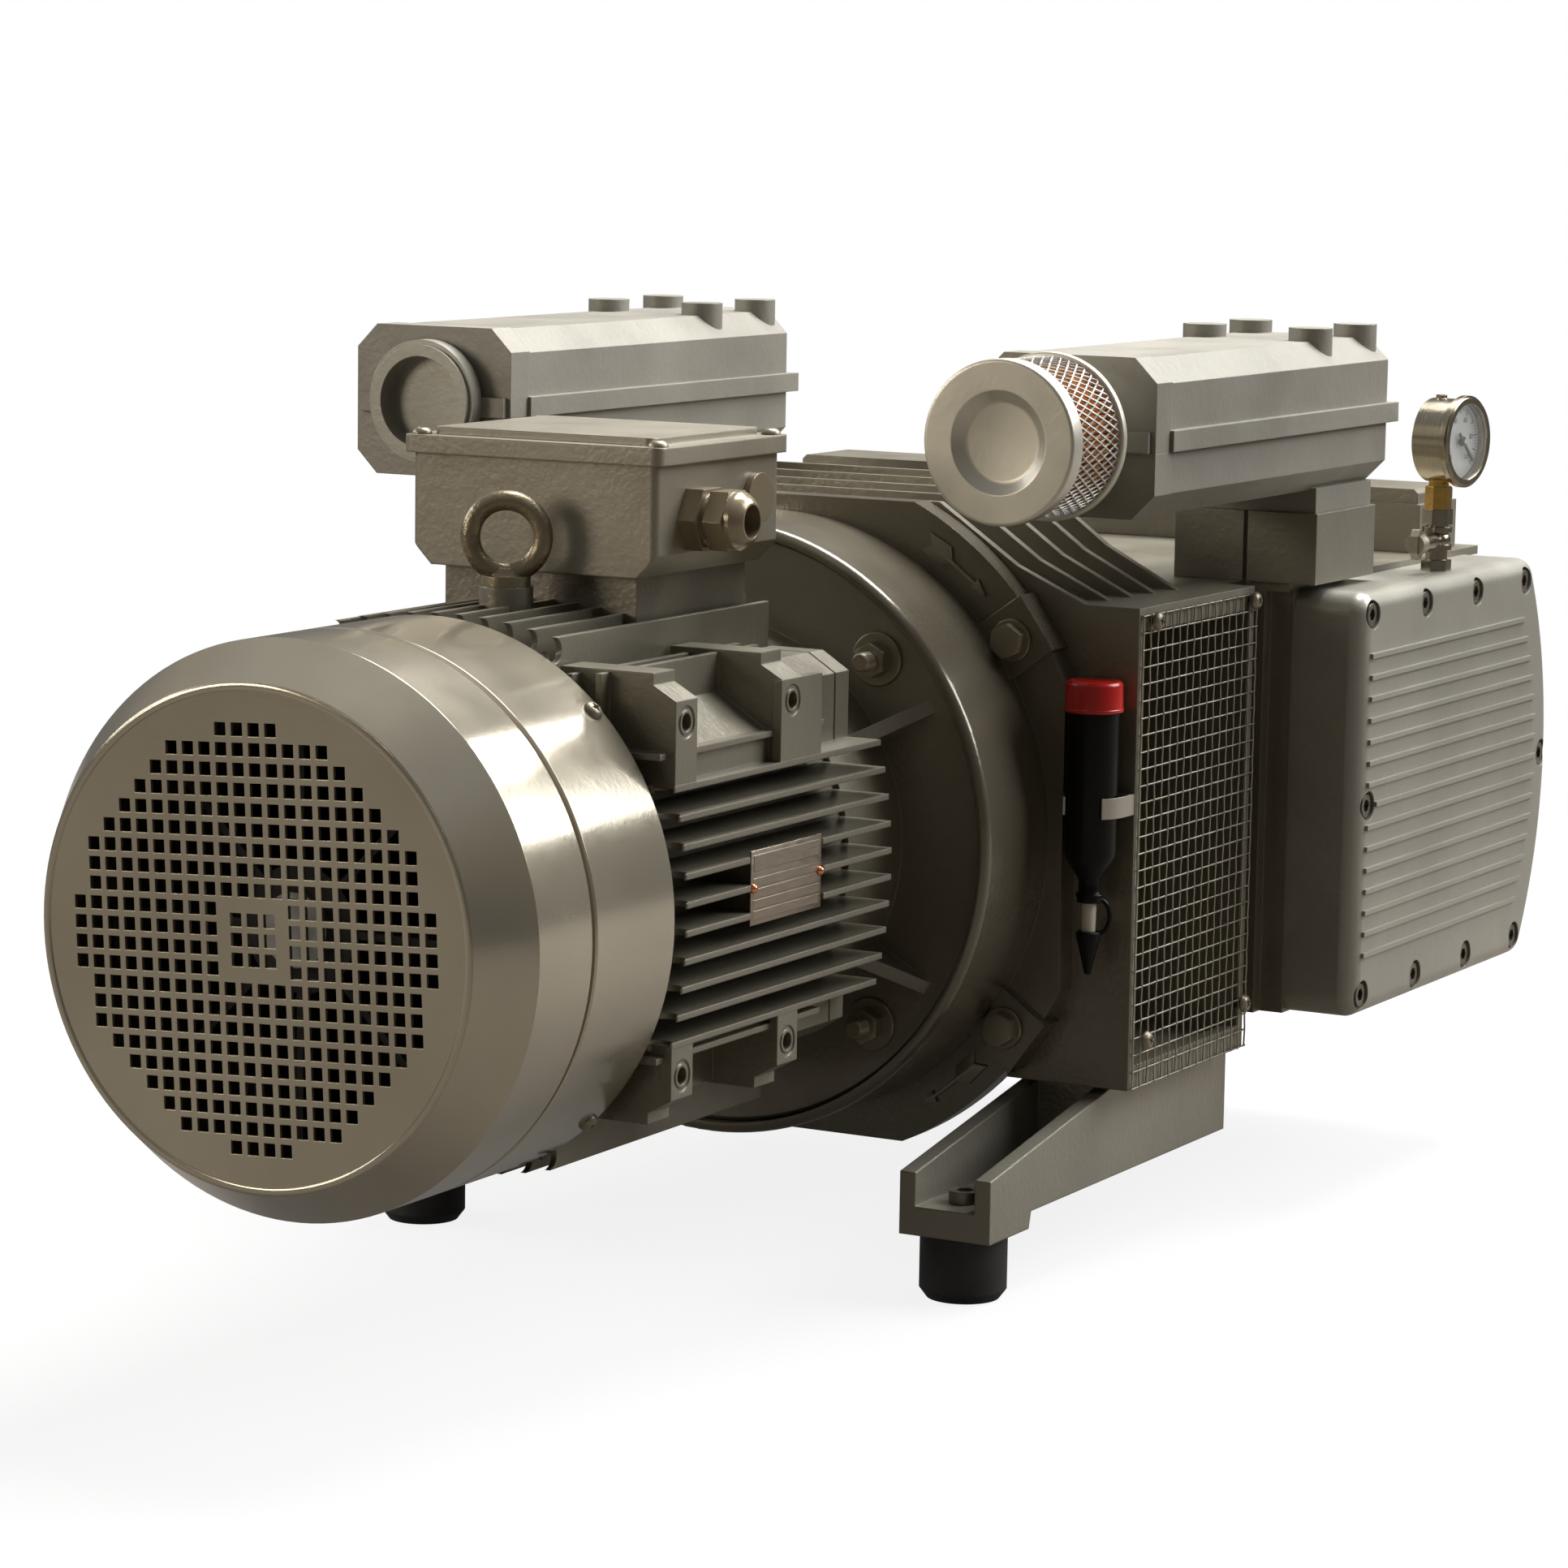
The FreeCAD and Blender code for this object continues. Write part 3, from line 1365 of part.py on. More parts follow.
def side_cover():
    """The near side's cover: a ribbed shell with a column inside for each screw."""
    face = -(s.side_outer - s.side_rib_height)
    body = slab("XZ_Plane", cover_outline(0), face, -s.side_inner, name="CoverBody")
    deep = (s.side_outer - s.side_rib_height - s.side_inner).value
    rounded(body, s.side_corner_round, lambda box: box.YLength > deep - 1)
    rounded(body, s.side_round, lambda box: box.YLength < 0.01 and abs(box.YMin) < 0.01)
    wall = s.side_wall
    inside = slab("XZ_Plane", cover_outline(wall), face + wall, -s.side_inner + 1, name="CoverInside")
    shell = cut(body, inside)
    columns = [rod(s.side_screw_pocket + 2, face + wall - 1, -s.side_inner, at=at, along="y")
               for at in side_screws]
    field = [(s.side_front + 7, -s.side_rib_field), (s.side_corner - 14, -s.side_rib_field,
             s.side_end - 20, 0), (s.side_corner - 14, s.side_rib_field), (s.side_front + 7, s.side_rib_field)]
    limits = slab("XZ_Plane", field, -s.side_outer, face + 1, name="RibField")
    ribs = []
    for i in range(15):
        z = s.side_rib_pitch * (i - 7)
        half = s.side_rib_width / 2
        ribs.append(block(s.side_front, s.side_end, -s.side_outer, face + 0.5, z - half, z + half, name="Rib"))
    clipped = common(limits, group(*ribs))
    floor = -s.side_outer + s.side_rib_height + s.side_screw_depth
    tools = []
    for at in side_screws:
        tools.append(rod(s.side_screw_pocket, -s.side_outer - 1, floor, at=at, along="y"))
        tools.append(rod(s.side_screw_radius + 0.2, floor - 1, -s.side_inner + 1, at=at, along="y"))
    return cut(fuse(shell, *columns, clipped), *tools, name="SideCover")


near_cover = side_cover()


def cover_screws():
    floor = -s.side_outer + s.side_rib_height + s.side_screw_depth
    reach = s.side_outer - s.side_inner + 6
    near = [socket_screw(s.side_screw_head, s.side_screw_radius, floor, reach, at, side=-1)
            for at in side_screws]
    return near + [mirrored(screw) for screw in near]


node("side_cover_near", near_cover)
node("side_cover_far", mirrored(near_cover))
node("cover_screws", *cover_screws())


# Rear duct across the cylinder, and the pedestals under the housings

def rear_duct():
    width = s.manifold_half_width
    seam = s.manifold_top - s.manifold_lid
    end = pump_rear + s.manifold_past
    start = end - s.manifold_length
    outline = [(-width, s.deck_top), (width, s.deck_top), (width, seam), (width - 2, seam),
               (width - 2, s.manifold_top - 2), (width - 4, s.manifold_top), (-width + 4, s.manifold_top),
               (-width + 2, s.manifold_top - 2), (-width + 2, seam), (-width, seam)]
    body = slab("YZ_Plane", outline, start, end, name="DuctBody")
    step = block(start - 1, start + 2, -width - 1, width + 1, seam, s.manifold_top + 1)
    inside = block(start + 6, end - 6, -width + 22, width - 22, s.deck_top - 1, s.manifold_top - 6)
    return cut(body, step, inside, name="RearDuct")


def pedestal():
    body = block(s.pedestal_front, s.pedestal_rear, -s.pedestal_outer, -s.pedestal_inner, s.deck_top,
                 s.pedestal_top)
    groove = block(s.pedestal_front - 1, s.pedestal_front + 2, -s.housing_y - 1, -s.housing_y + 1,
                   s.deck_top - 1, s.pedestal_top + 1)
    duct = rod(s.duct_radius, s.deck_top - 1, s.pedestal_top + 1, at=(duct_x, -s.housing_y), along="z")
    return cut(body, groove, duct, name="Pedestal")


near_pedestal = pedestal()
node("rear_duct", rear_duct())
node("pedestal_near", near_pedestal)
node("pedestal_far", mirrored(near_pedestal))


# Top housings, each in two halves, with the filter on the near one and a port plug on the far one

def octagon(half, low, high, trim):
    """A housing's cross-section about its own middle."""
    y = -s.housing_y
    return [(y - half + trim, low), (y + half - trim, low), (y + half, low + trim), (y + half, high - trim),
            (y + half - trim, high), (y - half + trim, high), (y - half, high - trim), (y - half, low + trim)]


def housing(front_hole):
    """The shell over both halves, and what is taken out of it; the front hole's radius differs."""
    half = s.housing_half_width
    low = s.housing_bottom
    high = s.housing_top
    wall = s.housing_wall
    trim = s.housing_chamfer
    inset = s.housing_inset
    start = s.housing_front
    end = s.housing_rear
    y = -s.housing_y
    reach = half + s.housing_bead_reach
    lip = s.housing_bead_reach * 2
    shell = slab("YZ_Plane", octagon(half - inset, low, high - inset / 2, trim), start + s.housing_flange, end,
                 name="Shell")
    length = (end - start - s.housing_flange).value
    rounded(shell, s.housing_end_round, lambda box: box.XMin > length - 0.01, name="RearRound")
    parts = [
        shell,
        slab("YZ_Plane", octagon(half, low, high, trim), start, start + s.housing_flange + 1, name="FrontRim"),
        block(start + s.housing_flange, end + lip, y - reach, y + reach, s.housing_seam,
              s.housing_seam + s.housing_bead, name="Bead"),
        block(start - s.housing_tab, start + 1, y - half + 2, y + half - 2, s.housing_seam,
              s.housing_seam + s.housing_bead, name="FrontBead"),
        block(s.pedestal_front + 2, s.pedestal_rear - 2, y - 31.7, y + 31.7, s.pedestal_top, low + 1,
              name="Foot"),
    ]
    for x in (s.boss_x, s.boss_x + s.boss_pitch_x):
        for side in (-1, 1):
            at = (x, y + s.boss_pitch_y / 2 * side)
            parts.append(rod(s.boss_radius, high - 12, high + s.boss_height, at=at, along="z", name="Boss"))
    hollow = slab("YZ_Plane", octagon(half - wall, low + wall, high - wall, trim - wall / 2), start + wall * 2,
                  end - wall * 3, name="HousingHollow")
    tools = [
        hollow,
        rod(s.duct_radius, s.pedestal_top - 1, low + wall + 1, at=(duct_x, y), along="z", name="DuctHole"),
        rod(front_hole, start - s.housing_tab - 1, start + wall * 2 + 1, at=(y, s.port_z), name="FrontHole"),
    ]
    return parts, tools


def housing_half(low, high, far, name):
    """One half of a housing; the far side's has a port in its rear end and a plugged front."""
    parts, tools = housing(s.plug_seat if far else s.port_radius)
    end = s.housing_rear
    if far:
        at = (-s.housing_y, s.port_z)
        pad = s.port_pad + s.housing_bead_reach * 2
        parts.append(rod(s.port_radius + s.port_rim, end - 8, end + pad, at=at, name="PortPad"))
        tools.append(rod(s.port_radius, end - s.housing_wall * 3 - 1, end + pad + 1, at=at, name="Port"))
    keep = block(s.housing_front - s.housing_tab - 1, end + 12, -s.side_outer, -s.housing_y / 2, low, high)
    return cut(common(fuse(*parts), keep), *tools, name=name)


node("housing_near_lower", housing_half(s.pedestal_top, s.housing_seam, False, "NearLower"))
node("housing_near_upper", housing_half(s.housing_seam, s.housing_top + 10, False, "NearUpper"))
node("housing_far_lower", mirrored(housing_half(s.pedestal_top, s.housing_seam, True, "FarLower")))
node("housing_far_upper", mirrored(housing_half(s.housing_seam, s.housing_top + 10, True, "FarUpper")))


def port_plug():
    at = (s.housing_y, s.port_z)
    face = s.housing_front - s.housing_tab
    outer = s.housing_front - s.collar_length
    parts = [rod(s.collar_radius, outer + 2, face, at=at),
             rod(s.collar_radius - 2, outer, outer + 3, at=at),
             rod(s.plug_seat, face - 1, s.housing_front + s.port_wall, at=at)]
    recess = rod(s.collar_recess, outer - 1, outer + s.collar_recess_depth, at=at)
    return cut(fuse(*parts), recess, name="PortPlug")


def filter_parts():
    at = (-s.housing_y, s.port_z)
    inner_face = s.filter_face + s.filter_cap_depth
    rim = s.filter_rear - s.filter_rim
    front = cut(rod(s.filter_radius + 1, s.filter_face, inner_face, at=at),
                rod(s.filter_dish, s.filter_face - 1, s.filter_face + s.filter_dish_depth, at=at))
    back = fuse(rod(s.filter_radius + 2, rim, s.filter_rear, at=at),
                rod(s.port_radius, s.filter_rear - 1, s.housing_front + s.housing_wall * 2, at=at))
    back = cut(back, rod(s.port_radius - 4, rim - 1, s.housing_front + s.housing_wall * 2 + 1, at=at))
    paper = cut(rod(s.filter_radius - 2.2, inner_face, rim, at=at),
                rod(s.filter_paper, inner_face - 1, rim + 1, at=at))
    screen = cut(rod(s.filter_radius, inner_face, rim, at=at),
                 rod(s.filter_radius - 1.2, inner_face - 1, rim + 1, at=at))
    return front, back, paper, screen


front_cap, back_cap, paper, screen = filter_parts()
node("port_plug", port_plug())
node("filter_caps", front_cap, back_cap)
node("filter_element", paper)
node("filter_screen", screen)


# Gauge with its ball valve on the near cover

def turned_gauge(thing, name):
    """A gauge piece made about its own fitting's axis, turned and moved to its place."""
    held = group(thing, name=name)
    place(held, (s.gauge_x, s.gauge_y, s.gauge_z), Rotation(Vector(0, 0, 1), -s.gauge_turn.value))
    return held


def gauge():
    """Case, window and pointer; made about the dial's middle with the dial facing -Y."""
    front = -s.gauge_front
    seat = front + s.gauge_bezel_width
    inner = s.gauge_radius - 1.8
    case = fuse(
        rod(s.gauge_bezel, front + 1, seat, along="y"),
        rod(s.gauge_bezel - 1, front, front + 2, along="y"),
        rod(s.gauge_radius, seat - 1, s.gauge_back - 1, along="y"),
        rod(s.gauge_radius - 2, seat, s.gauge_back, along="y"),
        rod(2.5, s.gauge_radius - 1, s.gauge_radius + 1.5, along="z"),
    )
    case = cut(case, rod(inner, front - 1, front + 6, along="y"),
               rod(s.fitting_radius, -s.gauge_radius - 1, -s.gauge_radius + 1.6, along="z"))
    spindle = rod(1, front + 2, front + 7, along="y")
    window = rod(inner, front + 0.6, front + 1.6, along="y")
    hand = fuse(
        block(-0.7, 0.7, front + 3, front + 3.6, -5, s.gauge_radius * 0.68),
        rod(2.2, front + 3, front + 4, along="y"),
    )
    hand = group(cut(hand, rod(1 + s.running_gap, front + 1, front + 8, along="y")), name="Hand")
    place(hand, (0, 0, 0), Rotation(Vector(0, 1, 0), s.gauge_rest.value))
    return (turned_gauge(fuse(case, spindle), "GaugeCase"), turned_gauge(window, "GaugeWindow"),
            turned_gauge(hand, "GaugePointer"))


def gauge_fitting():
    at = (s.gauge_x, s.gauge_y)
    low = s.valve_top
    under = s.gauge_z - s.gauge_radius
    return fuse(hexagon(s.brass_flats, low, under - 2, at=at, along="z"),
                rod(s.fitting_radius, under - 3, under + 1.6, at=at, along="z"), name="GaugeFitting")


def valve_body():
    at = (s.gauge_x, s.gauge_y)
    seat = s.side_half_height
    top = s.valve_top
    collar = s.valve_radius + 1.8
    parts = [
        hexagon(s.valve_flats, seat, seat + 5, at=at, along="z"),
        rod(s.valve_radius, seat + 4, top, at=at, along="z"),
        rod(collar, s.stem_z - 4, s.stem_z - 1.5, at=at, along="z"),
        ball(s.valve_belly, (s.gauge_x, s.gauge_y, s.stem_z)),
        rod(collar, s.stem_z + 4, s.stem_z + 6.5, at=at, along="z"),
        hexagon(s.valve_flats, top - 7, top, at=at, along="z"),
        rod(s.stem_radius, s.gauge_x - s.lever_reach + s.lever_width / 2, s.gauge_x, at=(s.gauge_y, s.stem_z)),
        rod(s.stem_radius + 1.6, s.gauge_x - s.lever_reach + s.lever_width + 1, s.gauge_x,
            at=(s.gauge_y, s.stem_z)),
    ]
    return fuse(*parts, name="ValveBody")


def valve_lever():
    """A small wing handle on the end of the valve's stem."""
    y = s.gauge_y
    z = s.stem_z
    outer = s.gauge_x - s.lever_reach
    inner = outer + s.lever_width
    wing = s.lever_wing
    outline = [(outer, z - wing * 0.55), (outer + 2, z - wing), (inner - 3, z - wing), (inner, z - wing * 0.4),
               (inner, z + wing * 0.4), (inner - 3, z + wing), (outer + 2, z + wing), (outer, z + wing * 0.55)]
    parts = [slab("XZ_Plane", outline, y - 1.8, y + 1.8, name="Wing"), rod(4.6, outer + 1, inner, at=(y, z))]
    return cut(fuse(*parts), rod(s.stem_radius + s.running_gap, outer + s.lever_width / 2 - 1, inner + 1, at=(y, z)),
               name="ValveLever")


gauge_case, gauge_window, gauge_pointer = gauge()
node("gauge_case", gauge_case)
node("gauge_window", gauge_window)
node("gauge_pointer", gauge_pointer)
node("gauge_fitting", gauge_fitting())
node("valve_body", valve_body())
node("valve_lever", valve_lever())


# Legs, rear bracket, feet and their screws

pad_face = s.foot_height - s.axis_height
rear_foot_x = pump_rear - s.rear_foot_inset


def leg():
    x0 = s.foot_x - s.leg_tip
    low = pad_face
    under = low + s.leg_step
    outline = [
        (x0, low),
        (s.foot_x + s.foot_radius, low),
        (s.foot_x + s.foot_radius + 2, under),
        (s.leg_rear, under),
        (s.leg_rear, s.casing_bottom),
        (s.leg_rise, s.casing_bottom),
        (x0, low + s.leg_prong),
    ]
    half = s.leg_width / 2
    body = slab("XZ_Plane", outline, -s.foot_y - half, -s.foot_y + half, name="LegBody")
    inner = half - s.leg_wall
    channel = block(x0 - 1, s.leg_rise - 10, -s.foot_y - inner, -s.foot_y + inner, low + s.leg_floor, 0)
    hole = rod(s.foot_screw_radius + 0.5, low - 1, low + s.leg_floor + 1, at=(s.foot_x, -s.foot_y), along="z")
    pocket = block(s.leg_rise + 6, s.leg_rear - 10, -s.foot_y - inner, -s.foot_y + inner, under - 1,
                   s.casing_bottom - 8)
    return cut(body, channel, hole, pocket, name="Leg")


near_leg = leg()
node("leg_near", near_leg)
node("leg_far", mirrored(near_leg))


def rear_foot_bracket():
    x = rear_foot_x
    outline = [(x - 22, pad_face), (x + 22, pad_face), (x + 22, pad_face + 12), (x + 34, -core_height - 8),
               (x + 34, -core_height), (x - 40, -core_height), (x - 40, -core_height - 8), (x - 22, pad_face + 12)]
    body = slab("XZ_Plane", outline, -26, 26, name="Bracket")
    inside = block(x - 15, x + 15, -27, -6, pad_face + s.leg_floor, -core_height - 8)
    other = block(x - 15, x + 15, 6, 27, pad_face + s.leg_floor, -core_height - 8)
    hole = rod(s.foot_screw_radius + 0.5, pad_face - 1, pad_face + s.leg_floor + 6, at=(x, 0), along="z")
    return cut(body, inside, other, hole, name="RearFootBracket")


foot_places = ((s.foot_x, -s.foot_y), (s.foot_x, s.foot_y), (rear_foot_x, 0))


def rubber_feet():
    feet = []
    low = -s.axis_height
    for at in foot_places:
        body = fuse(cone(s.foot_radius - 3, s.foot_radius, low, low + 4, at=at, along="z"),
                    rod(s.foot_radius, low + 4, pad_face, at=at, along="z"))
        feet.append(cut(body, rod(s.foot_screw_radius, pad_face - 14, pad_face + 1, at=at, along="z")))
    return feet


def foot_screws():
    screws = []
    for at in foot_places[:2]:
        screws.append(socket_screw(s.foot_screw_radius * 1.65, s.foot_screw_radius, pad_face + s.leg_floor,
                                   s.leg_floor + 13, at, along="z"))
    at = foot_places[2]
    screws.append(rod(s.foot_screw_radius, pad_face - 13, pad_face + s.leg_floor + 5, at=at, along="z"))
    return screws


node("rear_foot_bracket", rear_foot_bracket())
node("rubber_feet", *rubber_feet())
node("foot_screws", *foot_screws())


# Grease bottle in its spring clip on the casing's front wall

bottle_at = (s.casing_front - s.bottle_gap - s.bottle_radius, s.bottle_y)


def grease_bottle():
    neck = s.bottle_neck_radius
    end = s.bottle_neck_end
    parts = [
        rod(s.bottle_radius, s.bottle_shoulder, s.bottle_top - s.bottle_cap_height, at=bottle_at, along="z"),
        cone(neck, s.bottle_radius, s.bottle_neck, s.bottle_shoulder, at=bottle_at, along="z"),
        rod(neck, end, s.bottle_neck + 1, at=bottle_at, along="z"),
        rod(neck + 1.2, end, end + 2, at=bottle_at, along="z"),
    ]
    return fuse(*parts, name="GreaseBottle")


def bottle_nozzle():
    return rod(s.nozzle_radius, s.nozzle_end, s.bottle_neck_end, at=bottle_at, along="z", name="BottleNozzle")


def bottle_cap():
    top = s.bottle_top
    low = top - s.bottle_cap_height
    grip = s.bottle_radius + s.bottle_cap_grip
    return fuse(rod(grip, low, top - 1, at=bottle_at, along="z"), rod(grip - 1, top - 2, top, at=bottle_at, along="z"),
                name="BottleCap")


def bottle_tip():
    """Black tip with a strap that loops round to the bottle's neck."""
    x, y = bottle_at
    wide = s.bottle_tip_radius
    reach = s.strap_reach
    side = y - reach
    parts = [
        cone(1.3, wide, s.bottle_tip, s.nozzle_end - 3, at=bottle_at, along="z"),
        rod(wide, s.nozzle_end - 3.1, s.nozzle_end, at=bottle_at, along="z"),
        block(x - 2, x + 2, side, y - wide + 1, s.nozzle_end - 3, s.nozzle_end - 1.4),
        block(x - 2, x + 2, side, side + 1.6, s.nozzle_end - 3, s.bottle_neck_end - 0.2),
        block(x - 2, x + 2, side, y - s.nozzle_radius - 0.4, s.bottle_neck_end - 1.8, s.bottle_neck_end - 0.2),
    ]
    return fuse(*parts, name="BottleTip")


def bottle_clip():
    """Spring clip round the bottle's back, on a strip that runs to the casing's front wall."""
    x, y = bottle_at
    z0 = s.clip_z - s.clip_width / 2
    z1 = s.clip_z + s.clip_width / 2
    grip = s.bottle_radius + 1.5
    back = rod(grip, z0, z1, at=bottle_at, along="z")
    hole = rod(s.bottle_radius + 0.1, z0 - 1, z1 + 1, at=bottle_at, along="z")
    gap = block(x - 30, x - s.bottle_radius * 0.4, y - 30, y + 30, z0 - 1, z1 + 1)
    tab = block(x + s.bottle_radius + 0.5, s.casing_front, y - 8, y + 4, z0, z1)
    end = block(s.casing_front - 1.5, s.casing_front, y - 13, y - 6, z0 + 1, z1 - 1)
    return cut(fuse(back, tab, end), hole, gap, name="BottleClip")


node("grease_bottle", grease_bottle())
node("bottle_cap", bottle_cap())
node("bottle_tip", bottle_tip(), bottle_nozzle())
node("bottle_clip", bottle_clip())


# Pan head screws of the fan cover, the grilles and the terminal box lid

def pan_screw(at, face, along="y", side=-1):
    return fuse(rod(s.pan_radius, *between(face, face + s.pan_height * side), at=at, along=along),
                pan_hole(at, face, along, side), name="PanScrew")


def pan_head_screws():
    pieces = []
    for at in grille_screws:
        near = pan_screw(at, grille_face)
        pieces += [near, mirrored(near)]
    for angle in cover_screw_angles:
        pieces.append(spun(pan_screw((cover_screw_x, 0), s.cover_radius, along="z", side=1), angle))
    for at in lid_screws:
        pieces.append(pan_screw(at, s.box_top + s.lid_rim, along="z", side=1))
    return pieces


node("pan_head_screws", *pan_head_screws())


# Checks and files

doc.recompute()
for thing in doc.Objects:
    if "Invalid" in thing.State or "Error" in thing.State:
        raise RuntimeError("%s doesn't build: %s" % (thing.Name, thing.State))
for thing in nodes:
    if thing.Shape.isNull() or not thing.Shape.isValid():
        raise RuntimeError("%s has no valid shape" % thing.Label)

os.makedirs("parts", exist_ok=True)
for thing in nodes:
    thing.Shape.exportStep("parts/%s.step" % thing.Label)
    print(thing.Label, len(thing.Shape.Solids), round(thing.Shape.Volume / 1000))
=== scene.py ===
import json
import math

import bmesh
import bpy
from mathutils import Matrix, Vector


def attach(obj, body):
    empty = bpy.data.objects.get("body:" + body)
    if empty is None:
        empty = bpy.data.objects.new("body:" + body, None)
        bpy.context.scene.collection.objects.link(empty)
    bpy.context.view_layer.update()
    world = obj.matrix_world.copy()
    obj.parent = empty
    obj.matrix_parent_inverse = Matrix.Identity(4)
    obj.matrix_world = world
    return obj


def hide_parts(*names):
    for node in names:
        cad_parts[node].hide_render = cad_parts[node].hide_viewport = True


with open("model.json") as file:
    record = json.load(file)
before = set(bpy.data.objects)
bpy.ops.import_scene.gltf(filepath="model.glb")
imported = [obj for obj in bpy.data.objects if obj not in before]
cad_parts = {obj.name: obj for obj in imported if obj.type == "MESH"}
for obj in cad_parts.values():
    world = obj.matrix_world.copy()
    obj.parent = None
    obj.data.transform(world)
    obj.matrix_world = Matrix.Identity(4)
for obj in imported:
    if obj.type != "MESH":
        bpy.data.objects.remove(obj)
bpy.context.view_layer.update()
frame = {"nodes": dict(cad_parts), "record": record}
nodes = frame["nodes"]

# Frame: X along the motor axis from fan cover to pump, -Y the near side, Z up from the floor, metres
mm = 0.001
flangeX = -0.036
axisHeight = 0.180


def place(x, y, z):
    # From mm round the motor flange's centre to metres in the row frame
    return Vector((x * mm + flangeX, y * mm, z * mm + axisHeight))


# Camera at the photograph's place

camera = {
    "at": place(-1815.7, -1022.8, 312.3),
    "right": (0.48387, -0.87499, 0.01600),
    "down": (-0.11535, -0.08190, -0.98994),
    "forward": (0.86750, 0.47716, -0.14056),
    "lens": 114.57,
}


def addCamera():
    data = bpy.data.cameras.new("camera")
    data.lens = camera["lens"]
    data.sensor_width = 36
    data.clip_end = 20
    holder = bpy.data.objects.new("camera", data)
    bpy.context.scene.collection.objects.link(holder)
    right, up, back = Vector(camera["right"]), -Vector(camera["down"]), -Vector(camera["forward"])
    turn = Matrix((right, up, back)).transposed().to_4x4()
    holder.matrix_world = Matrix.Translation(camera["at"]) @ turn
    bpy.context.scene.camera = holder


addCamera()
print("camera ready")


# Light and floor

light = {
    "roomLow": (0.085, 0.062, 0.036),
    "roomMiddle": (0.36, 0.29, 0.19),
    "roomHigh": (0.80, 0.82, 0.84),
    "roomLowAt": 0.12,
    "roomMiddleAt": 0.42,
    "roomHighAt": 0.75,
    "room": 0.24,
    "mirrored": 0.1,  # share of the white background that metal and paint see
    "floorSize": 6,
    "floorGlow": 0.86,
    "floorSeen": (0.80, 0.80, 0.80),
    "floorBounce": (0.11, 0.09, 0.065),
    "whiteFrom": 0.45,
    "whiteAt": 1.5,
}

lamps = {
    "topLamp": {"at": (0.78, -0.1, 2.0), "size": (1.3, 1.2), "power": 92, "colour": (1.0, 0.995, 0.98)},
    "nearLamp": {"at": (1.5, -1.85, 1.8), "size": (2.0, 1.7), "power": 82, "colour": (0.98, 0.99, 1.0)},
    "windowLamp": {"at": (1.59, -0.61, 1.38), "size": (0.4, 0.3), "power": 5, "target": (-0.3, -0.08, 0.25)},
    "rearLamp": {"at": (-1.9, 1.4, 0.8), "size": (0.8, 0.7), "power": 14, "colour": (1.0, 0.90, 0.74)},
    "farLamp": {"at": (-0.4, 2.1, 1.2), "size": (1.4, 0.8), "power": 22},
}


def addLamp(name, at, size, power, target=(0, 0, 0.2), colour=(1, 1, 1)):
    data = bpy.data.lights.new(name, "AREA")
    data.shape = "RECTANGLE"
    data.size, data.size_y = size
    data.energy = power
    data.color = colour
    lamp = bpy.data.objects.new(name, data)
    bpy.context.scene.collection.objects.link(lamp)
    lamp.location = at
    lamp.rotation_euler = (Vector(target) - Vector(at)).to_track_quat("-Z", "Y").to_euler()


def backgroundSeen(tree):
    # The camera and glass see the white background whole, metal and paint see it dimmed
    path = tree.nodes.new("ShaderNodeLightPath")
    clear = tree.nodes.new("ShaderNodeMath")
    clear.operation = "MAXIMUM"
    tree.links.new(path.outputs["Is Camera Ray"], clear.inputs[0])
    tree.links.new(path.outputs["Is Transmission Ray"], clear.inputs[1])
    dim = tree.nodes.new("ShaderNodeMath")
    dim.operation = "MULTIPLY"
    tree.links.new(path.outputs["Is Glossy Ray"], dim.inputs[0])
    dim.inputs[1].default_value = light["mirrored"]
    both = tree.nodes.new("ShaderNodeMath")
    both.operation = "MAXIMUM"
    tree.links.new(clear.outputs[0], both.inputs[0])
    tree.links.new(dim.outputs[0], both.inputs[1])
    return both.outputs[0]


def addLights():
    for name, values in lamps.items():
        addLamp(name, **values)
    world = bpy.data.worlds.new("world")
    bpy.context.scene.world = world
    world.use_nodes = True
    tree = world.node_tree
    tree.nodes.clear()
    output = tree.nodes.new("ShaderNodeOutputWorld")
    seen = tree.nodes.new("ShaderNodeBackground")
    seen.inputs["Color"].default_value = (1, 1, 1, 1)
    seen.inputs["Strength"].default_value = 1
    # The room is brown and dim round the object and bright overhead
    direction = tree.nodes.new("ShaderNodeTexCoord")
    split = tree.nodes.new("ShaderNodeSeparateXYZ")
    tree.links.new(direction.outputs["Generated"], split.inputs[0])
    ramp = tree.nodes.new("ShaderNodeValToRGB")
    ramp.color_ramp.elements[0].position = light["roomLowAt"]
    ramp.color_ramp.elements[0].color = (*light["roomLow"], 1)
    ramp.color_ramp.elements[1].position = light["roomHighAt"]
    ramp.color_ramp.elements[1].color = (*light["roomHigh"], 1)
    ramp.color_ramp.elements.new(light["roomMiddleAt"]).color = (*light["roomMiddle"], 1)
    tree.links.new(split.outputs["Z"], ramp.inputs["Fac"])
    room = tree.nodes.new("ShaderNodeBackground")
    tree.links.new(ramp.outputs["Color"], room.inputs["Color"])
    room.inputs["Strength"].default_value = light["room"]
    mix = tree.nodes.new("ShaderNodeMixShader")
    tree.links.new(backgroundSeen(tree), mix.inputs["Fac"])
    tree.links.new(room.outputs[0], mix.inputs[1])
    tree.links.new(seen.outputs[0], mix.inputs[2])
    tree.links.new(mix.outputs[0], output.inputs[0])
    bpy.context.scene.view_settings.view_transform = "Standard"


